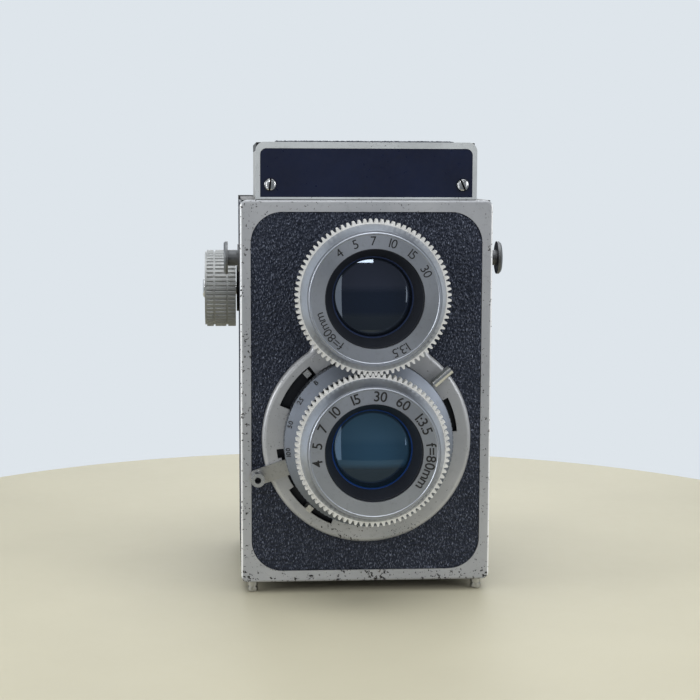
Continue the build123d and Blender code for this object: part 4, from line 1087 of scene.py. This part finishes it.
@dataclass
class FrontElement:
    """A front lens element, ground to a smooth dome, which stands for the plain CAD one."""

    prefix: str
    body: Body
    coating: CoatingWithPaintedLight
    clear: float = 11.2 * MM
    dome: float = 1.6 * MM
    edge: float = 0.15 * MM
    steps: int = 12
    sides: int = 128

    def profile(self, back: float, crown: float, radius: float) -> list[tuple[float, float]]:
        """Draw the element from its back face over its ground edge to its crown.

        Args:
            back: The height of its back face.
            crown: The height of its crown.
            radius: Its outer radius.

        Returns:
            The radius and height of each step.
        """
        rim = crown - self.dome
        curve = (self.clear ** 2 + self.dome ** 2) / (2 * self.dome)
        radii = [self.clear * math.cos(math.pi / 2 * step / self.steps) for step in range(self.steps)]
        face = [(reach, crown - curve + math.sqrt(curve ** 2 - reach ** 2)) for reach in radii]
        ground = [(radius, back), (radius, rim - self.edge), (radius - self.edge, rim)]
        return [*ground, *face, (self.edge / 3, crown)]

    def build(self) -> None:
        """Turn the element and coat it."""
        node = f"{self.prefix}_lens_glass"
        low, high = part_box(node)
        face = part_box("front_panel")[0].y
        steps = self.profile(face - high.y, face - low.y, (high.x - low.x) / 2)
        centre = axis_through(node, face)
        piece = turn_profile(f"{self.prefix}_front_element", centre, steps, self.sides)
        fit_out(piece, self.body, self.coating)
        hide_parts(node)


@dataclass
class ReleaseSocket:
    """The dark tapered socket for a cable release, inside the hollow release button."""

    node: str = "release_button"
    radius: float = 0.87 * MM
    sunk: float = 0.7 * MM
    taper: float = 0.9 * MM
    clearance: float = 0.02 * MM
    mouth: float = 0.8
    throat: float = 0.4
    core: float = 0.05
    sides: int = 32

    def build(self) -> None:
        """Turn the socket inside the button's bore."""
        low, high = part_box(self.node)
        top = high.y - low.y - self.sunk
        shares = ((1.0, self.clearance), (1.0, top), (self.mouth, top),
                  (self.throat, top - self.taper), (self.core, top - self.taper))
        steps = [(self.radius * share, height) for share, height in shares]
        piece = turn_profile("release_button_socket", axis_through(self.node, high.y), steps, self.sides)
        fit_out(piece, Body.RELEASE, MATT_BLACK)


@dataclass
class PlateScrews:
    """The two domed, slotted screws of the nameplate, each left at a turn of its own."""

    node: str = "nameplate_screws"
    dome: float = 0.45 * MM
    slot_width: float = 0.5 * MM
    slot_depth: float = 0.4 * MM
    # the share of the slot's depth from which it is black, a painted shade
    slot_shade_from: float = 0.8
    shank: float = 0.4
    core: float = 0.05
    turns: tuple[float, float] = (math.radians(6), math.radians(-24))
    steps: int = 6
    sides: int = 40

    def screw(self, side: int, turn: float) -> bpy.types.Object:
        """Turn one screw and cut its slot.

        Args:
            side: -1 for the left screw, 1 for the right one.
            turn: How far its slot leans from upright.

        Returns:
            The screw.
        """
        low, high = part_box(self.node)
        radius = (high.z - low.z) / 2
        tall = high.y - low.y
        axis = Vector((side * (high.x - radius), high.y, (low.z + high.z) / 2))
        angles = [math.pi / 2 * step / self.steps for step in range(self.steps)]
        rim = tall - self.dome
        steps = [(radius * self.shank, 0.0), (radius * self.shank, tall / 2), (radius, tall / 2),
                 *((radius * math.cos(angle), rim + self.dome * math.sin(angle)) for angle in angles),
                 (radius * self.core, tall)]
        piece = turn_profile("screw", axis, steps, self.sides)
        clear_selection()
        bpy.ops.mesh.primitive_cube_add(size=1, location=(axis.x, low.y, axis.z), rotation=(0, turn, 0),
                                        scale=(self.slot_width, 2 * self.slot_depth, 3 * radius))
        cut(piece, bpy.context.object, "DIFFERENCE", "EXACT")
        return piece

    def build(self) -> None:
        """Make both screws as one piece that stands for the plain ones."""
        screws = [self.screw(side, turn) for side, turn in zip((-1, 1), self.turns)]
        piece = join(screws, "slotted_plate_screws")
        smooth(piece)
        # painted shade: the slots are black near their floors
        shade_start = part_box(self.node)[0].y + self.slot_depth * self.slot_shade_from
        finish = replace(BRIGHT_CHROME, name="screw_chrome_slot_shade", shade_behind=shade_start)
        fit_out(piece, Body.CAMERA, finish)
        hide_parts(self.node)


@dataclass
class Dressing:
    """The finishes of the CAD parts that keep their shape."""

    finishes: dict[Finish, tuple[str, ...]]

    def build(self) -> None:
        """Dress every part, and say which ones are left to be replaced."""
        dressed = set()
        for finish, nodes in self.finishes.items():
            for node in nodes:
                dress(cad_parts[node], finish.make(*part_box(node)))
                dressed.add(node)
        rest = sorted(set(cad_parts) - dressed)
        log.info("dressed %d parts, to be replaced: %s", len(dressed), rest)


# --- this camera's finishes ---

# The front panel's recess floor, seen through the plate's slots, is blackened as painted shade, and its
# front corners carry a painted highlight.
SILVER_PAINT = Paint("silver_paint", linear(176, 179, 183), linear(162, 165, 170), 0.38, 0.3,
                     wear=Wear(0.34, left=0.5, right=0.25, bottom=0.7, top=0.15, reach=6 * MM),
                     chip_size=0.8 * MM, recess=0.5 * MM, edge_highlight_width=0.6 * MM)
PLATE_PAINT = Paint("shutter_plate_paint", linear(180, 182, 185), linear(164, 167, 171), 0.34, 0.4,
                    wear=Wear(0.3, left=0.2, bottom=0.6, reach=9 * MM))
HOOD_PAINT = Paint("hood_paint", linear(178, 180, 178), linear(162, 164, 162), 0.4, 0.3,
                   wear=Wear(0.05, bottom=0.3))
CREAM_RIM = Paint("nameplate_rim", linear(190, 196, 199), linear(170, 175, 178), 0.35,
                  wear=Wear(0.3, bottom=0.3, top=0.2), chip_size=0.5 * MM, chip=linear(92, 92, 94))
NAVY_ENAMEL = Paint("navy_enamel", linear(15, 25, 52), linear(11, 19, 43), 0.3, coat=0.2, grain=0.004 * MM,
                    wear=Wear(0.0), chip_size=0.5 * MM, specular=0.35)
BLACK_ENAMEL = Paint("black_enamel", linear(24, 24, 27), linear(17, 17, 20), 0.46, grain=0.02 * MM,
                     wear=Wear(0.03, 0.2, 0.2, 0.25, 0.2), chip=linear(120, 108, 84),
                     rust=linear(140, 122, 88), specular=0.2)
MATT_BLACK = Paint("matt_black", linear(16, 19, 26), linear(11, 14, 20), 0.72, grain=0.03 * MM,
                   wear=Wear(0.0))
RETAINER_BLACK = Metal("retainer_black", linear(38, 41, 48), 0.34, Grain.ROUND_Y, 0.25 * MM, 0.02 * MM,
                       stain=linear(20, 20, 20), metallic=0.2)
TURNED_ALUMINIUM = Metal("turned_aluminium", linear(174, 179, 188), 0.32, Grain.ROUND_Y, 0.18 * MM,
                         0.012 * MM)
BRIGHT_TEETH = Metal("milled_aluminium", linear(232, 233, 231), 0.5, Grain.ROUND_Y, 0.3 * MM, 0.01 * MM,
                     stain=linear(120, 112, 92), stains=0.4, metallic=0.25)
DULL_ALUMINIUM = Metal("dull_aluminium", linear(146, 150, 156), 0.42, Grain.ROUND_Y, 0.25 * MM, 0.012 * MM)
# darker than the dull aluminium it copies: partly its own tone, partly painted shade for where it lies
# behind the taking gear
SPEED_ALUMINIUM = replace(DULL_ALUMINIUM, name="speed_ring_aluminium", colour=linear(122, 128, 138),
                          roughness=0.4)
KNOB_ALUMINIUM = Metal("knob_aluminium", linear(164, 166, 166), 0.42, Grain.ROUND_X, 0.2 * MM, 0.012 * MM,
                       stain=linear(84, 84, 78), stains=0.6)
LUG_STEEL = Metal("lug_steel", linear(120, 122, 124), 0.44, depth=0.008 * MM, stain=linear(64, 64, 62),
                  stains=0.7)
BRIGHT_CHROME = Metal("bright_chrome", linear(212, 214, 216), 0.16, depth=0.004 * MM, stains=0.35)
WORN_CHROME = Metal("worn_chrome", linear(186, 186, 184), 0.28, depth=0.008 * MM, stains=0.7)
# painted shade: the levers are black behind the plate's face, where they lie down in its slots
LEVER_CHROME = Metal("lever_chrome_slot_shade", linear(206, 206, 204), 0.24, stains=0.4, shade_behind=-37.0 * MM)
BLUED_STEEL = Metal("blued_steel", linear(46, 50, 60), 0.3, stain=linear(70, 56, 44))
MIRROR = Metal("mirror_silver", linear(232, 234, 236), 0.08, line=3 * MM, depth=0.0005 * MM, stains=0.15)
INK = Paint("filled_black", linear(20, 20, 22), linear(28, 28, 30), 0.5, grain=0.01 * MM, wear=Wear(0.0))
LENS_GLASS = Clear("lens_glass", linear(120, 140, 170), level=1.0)
SCREEN_GLASS = Clear("ground_glass", (0.94, 0.96, 0.95), (1, 1, 1), 0.45, haze=0.1)
MAGNIFIER_GLASS = Clear("magnifier_glass", (0.97, 0.98, 0.98), (1, 1, 1))
RED_GLASS = Clear("red_glass", (0.55, 0.02, 0.015), (1, 0.8, 0.8), 0.05)
# painted reflection and shade stand for the depth of each front lens
VIEWING_COATING_AND_PAINTED_LIGHT = CoatingWithPaintedLight("viewing_coating_and_painted_light", linear(38, 42, 56), linear(14, 22, 38), linear(28, 34, 42),
                         linear(60, 74, 110), (0.62, 0.78, 1.0))
TAKING_COATING_AND_PAINTED_LIGHT = CoatingWithPaintedLight("taking_coating_and_painted_light", linear(47, 74, 95), linear(38, 66, 88), linear(20, 30, 42),
                        linear(40, 76, 150), (0.4, 0.66, 1.0))

LEATHERS = (
    LeatherSheet("front_leather_cloth", "front_leather", Body.CAMERA, Y, -1, 0.23 * MM),
    LeatherSheet("left_leather_cloth", "side_leathers", Body.CAMERA, X, -1, paired=True),
    LeatherSheet("right_leather_cloth", "side_leathers", Body.CAMERA, X, 1, paired=True),
    LeatherSheet("back_leather_cloth", "back_leather", Body.BACK, Y, 1),
    LeatherSheet("lid_leather_cloth", "lid_leather", Body.LID, Z, 1),
)

CAMERA_DRESSING = Dressing({
    SILVER_PAINT: ("front_panel",),
    PLATE_PAINT: ("shutter_plate",),
    HOOD_PAINT: ("hood_frame",),
    CREAM_RIM: ("nameplate",),
    NAVY_ENAMEL: ("nameplate_enamel",),
    BLACK_ENAMEL: ("body_casting", "knob_base", "hood_lid", "magnifier_frame", "right_flap", "left_flap",
                   "rear_flap", "back_cover", "window_frame", "pressure_plate", "window_slide",
                   "takeup_spool", "supply_spool"),
    MATT_BLACK: ("light_cone", "shutter_housing"),
    RETAINER_BLACK: ("viewing_lens_retainer", "taking_lens_retainer"),
    TURNED_ALUMINIUM: ("viewing_lens_bezel", "taking_lens_bezel", "viewing_lens_sleeve",
                       "taking_lens_sleeve"),
    BRIGHT_TEETH: ("viewing_focus_gear", "taking_focus_gear"),
    DULL_ALUMINIUM: ("viewing_mount",),
    SPEED_ALUMINIUM: ("speed_ring",),
    KNOB_ALUMINIUM: ("winding_knob",),
    BRIGHT_CHROME: ("flash_sync_post", "release_button", "knob_screw", "hood_wires",
                    "tripod_bush", "spool_pins", "film_roller", "winding_shaft", "back_hinge_pin"),
    WORN_CHROME: ("feet", "release_lever", "back_latch"),
    LUG_STEEL: ("strap_lugs",),
    LEVER_CHROME: ("aperture_lever", "delay_lever"),
    BLUED_STEEL: ("shutter_blades", "pressure_springs"),
    MIRROR: ("viewing_mirror",),
    LENS_GLASS: ("rear_lens_glass",),
    SCREEN_GLASS: ("focusing_screen",),
    MAGNIFIER_GLASS: ("magnifier_lens",),
    RED_GLASS: ("window_glass",),
})


# --- this camera's lettering ---

VIEWING_ROWS: Rows = (("1:3.5", 297), ("f=80mm", 215), ("4", 128), ("5", 110), ("7", 92), ("10", 72),
                      ("15", 50), ("30", 28))
TAKING_ROWS: Rows = (("1:3.5", 30), ("f=80mm", -14), ("4", 190), ("5", 172), ("7", 154), ("10", 133),
                     ("15", 109), ("30", 84), ("60", 60))
SPEED_ROWS: Rows = (("B", 131), ("25", 148), ("50", 166), ("100", 186))
BEZEL_RADIUS = 15.5 * MM
BEZEL_RECESS = 0.13 * MM
SPEED_INSET = 1.15 * MM
SPEED_FALL = 2.2 * MM
SPEED_RUN = 3.9 * MM
SPEED_LIFT = 0.01 * MM


def bezel_legend(prefix: str, body: Body, rows: Rows, size: float, weight: float = 0.0) -> Legend:
    """Lay out a lens's plain data and its distances in the shallow recess of its bezel.

    Args:
        prefix: The lens, as its nodes' names start.
        body: The ring that the bezel is on.
        rows: The texts and their angles.
        size: The characters' size.
        weight: How much bolder than the font they are.

    Returns:
        The legend.
    """
    node = f"{prefix}_lens_bezel"
    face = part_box("front_panel")[0].y
    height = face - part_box(node)[0].y - BEZEL_RECESS
    centre = axis_through(node, face)
    return Legend(f"{prefix}_ring_legend", body, centre, BEZEL_RADIUS, height, size, weight, rows, INK)


def speed_legend() -> Legend:
    """Lay out the shutter's speeds on the speed ring, whose face falls towards its rim.

    Returns:
        The legend.
    """
    low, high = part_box("speed_ring")
    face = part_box("front_panel")[0].y
    height = face - low.y - SPEED_FALL * (1 - SPEED_INSET / SPEED_RUN) + SPEED_LIFT
    return Legend("speed_ring_legend", Body.SPEED_RING, axis_through("speed_ring", face),
                  (high.x - low.x) / 2 - SPEED_INSET, height, size=2.0 * MM, weight=0.02 * MM,
                  rows=SPEED_ROWS, finish=INK, tilt=-math.atan2(SPEED_FALL, SPEED_RUN))


def main() -> None:
    """Build the studio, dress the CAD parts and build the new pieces."""
    logging.basicConfig(level=logging.INFO, format="%(name)s: %(message)s")
    Studio().build()
    CAMERA_DRESSING.build()
    for sheet in LEATHERS:
        sheet.build()
    FrontElement("viewing", Body.VIEWING_SLEEVE, VIEWING_COATING_AND_PAINTED_LIGHT).build()
    FrontElement("taking", Body.TAKING_SLEEVE, TAKING_COATING_AND_PAINTED_LIGHT).build()
    PlateScrews().build()
    ReleaseSocket().build()
    bezel_legend("viewing", Body.VIEWING_RING, VIEWING_ROWS, size=3.5 * MM).build()
    bezel_legend("taking", Body.TAKING_RING, TAKING_ROWS, size=3.9 * MM, weight=0.05 * MM).build()
    speed_legend().build()


if __name__ == "__main__":
    main()
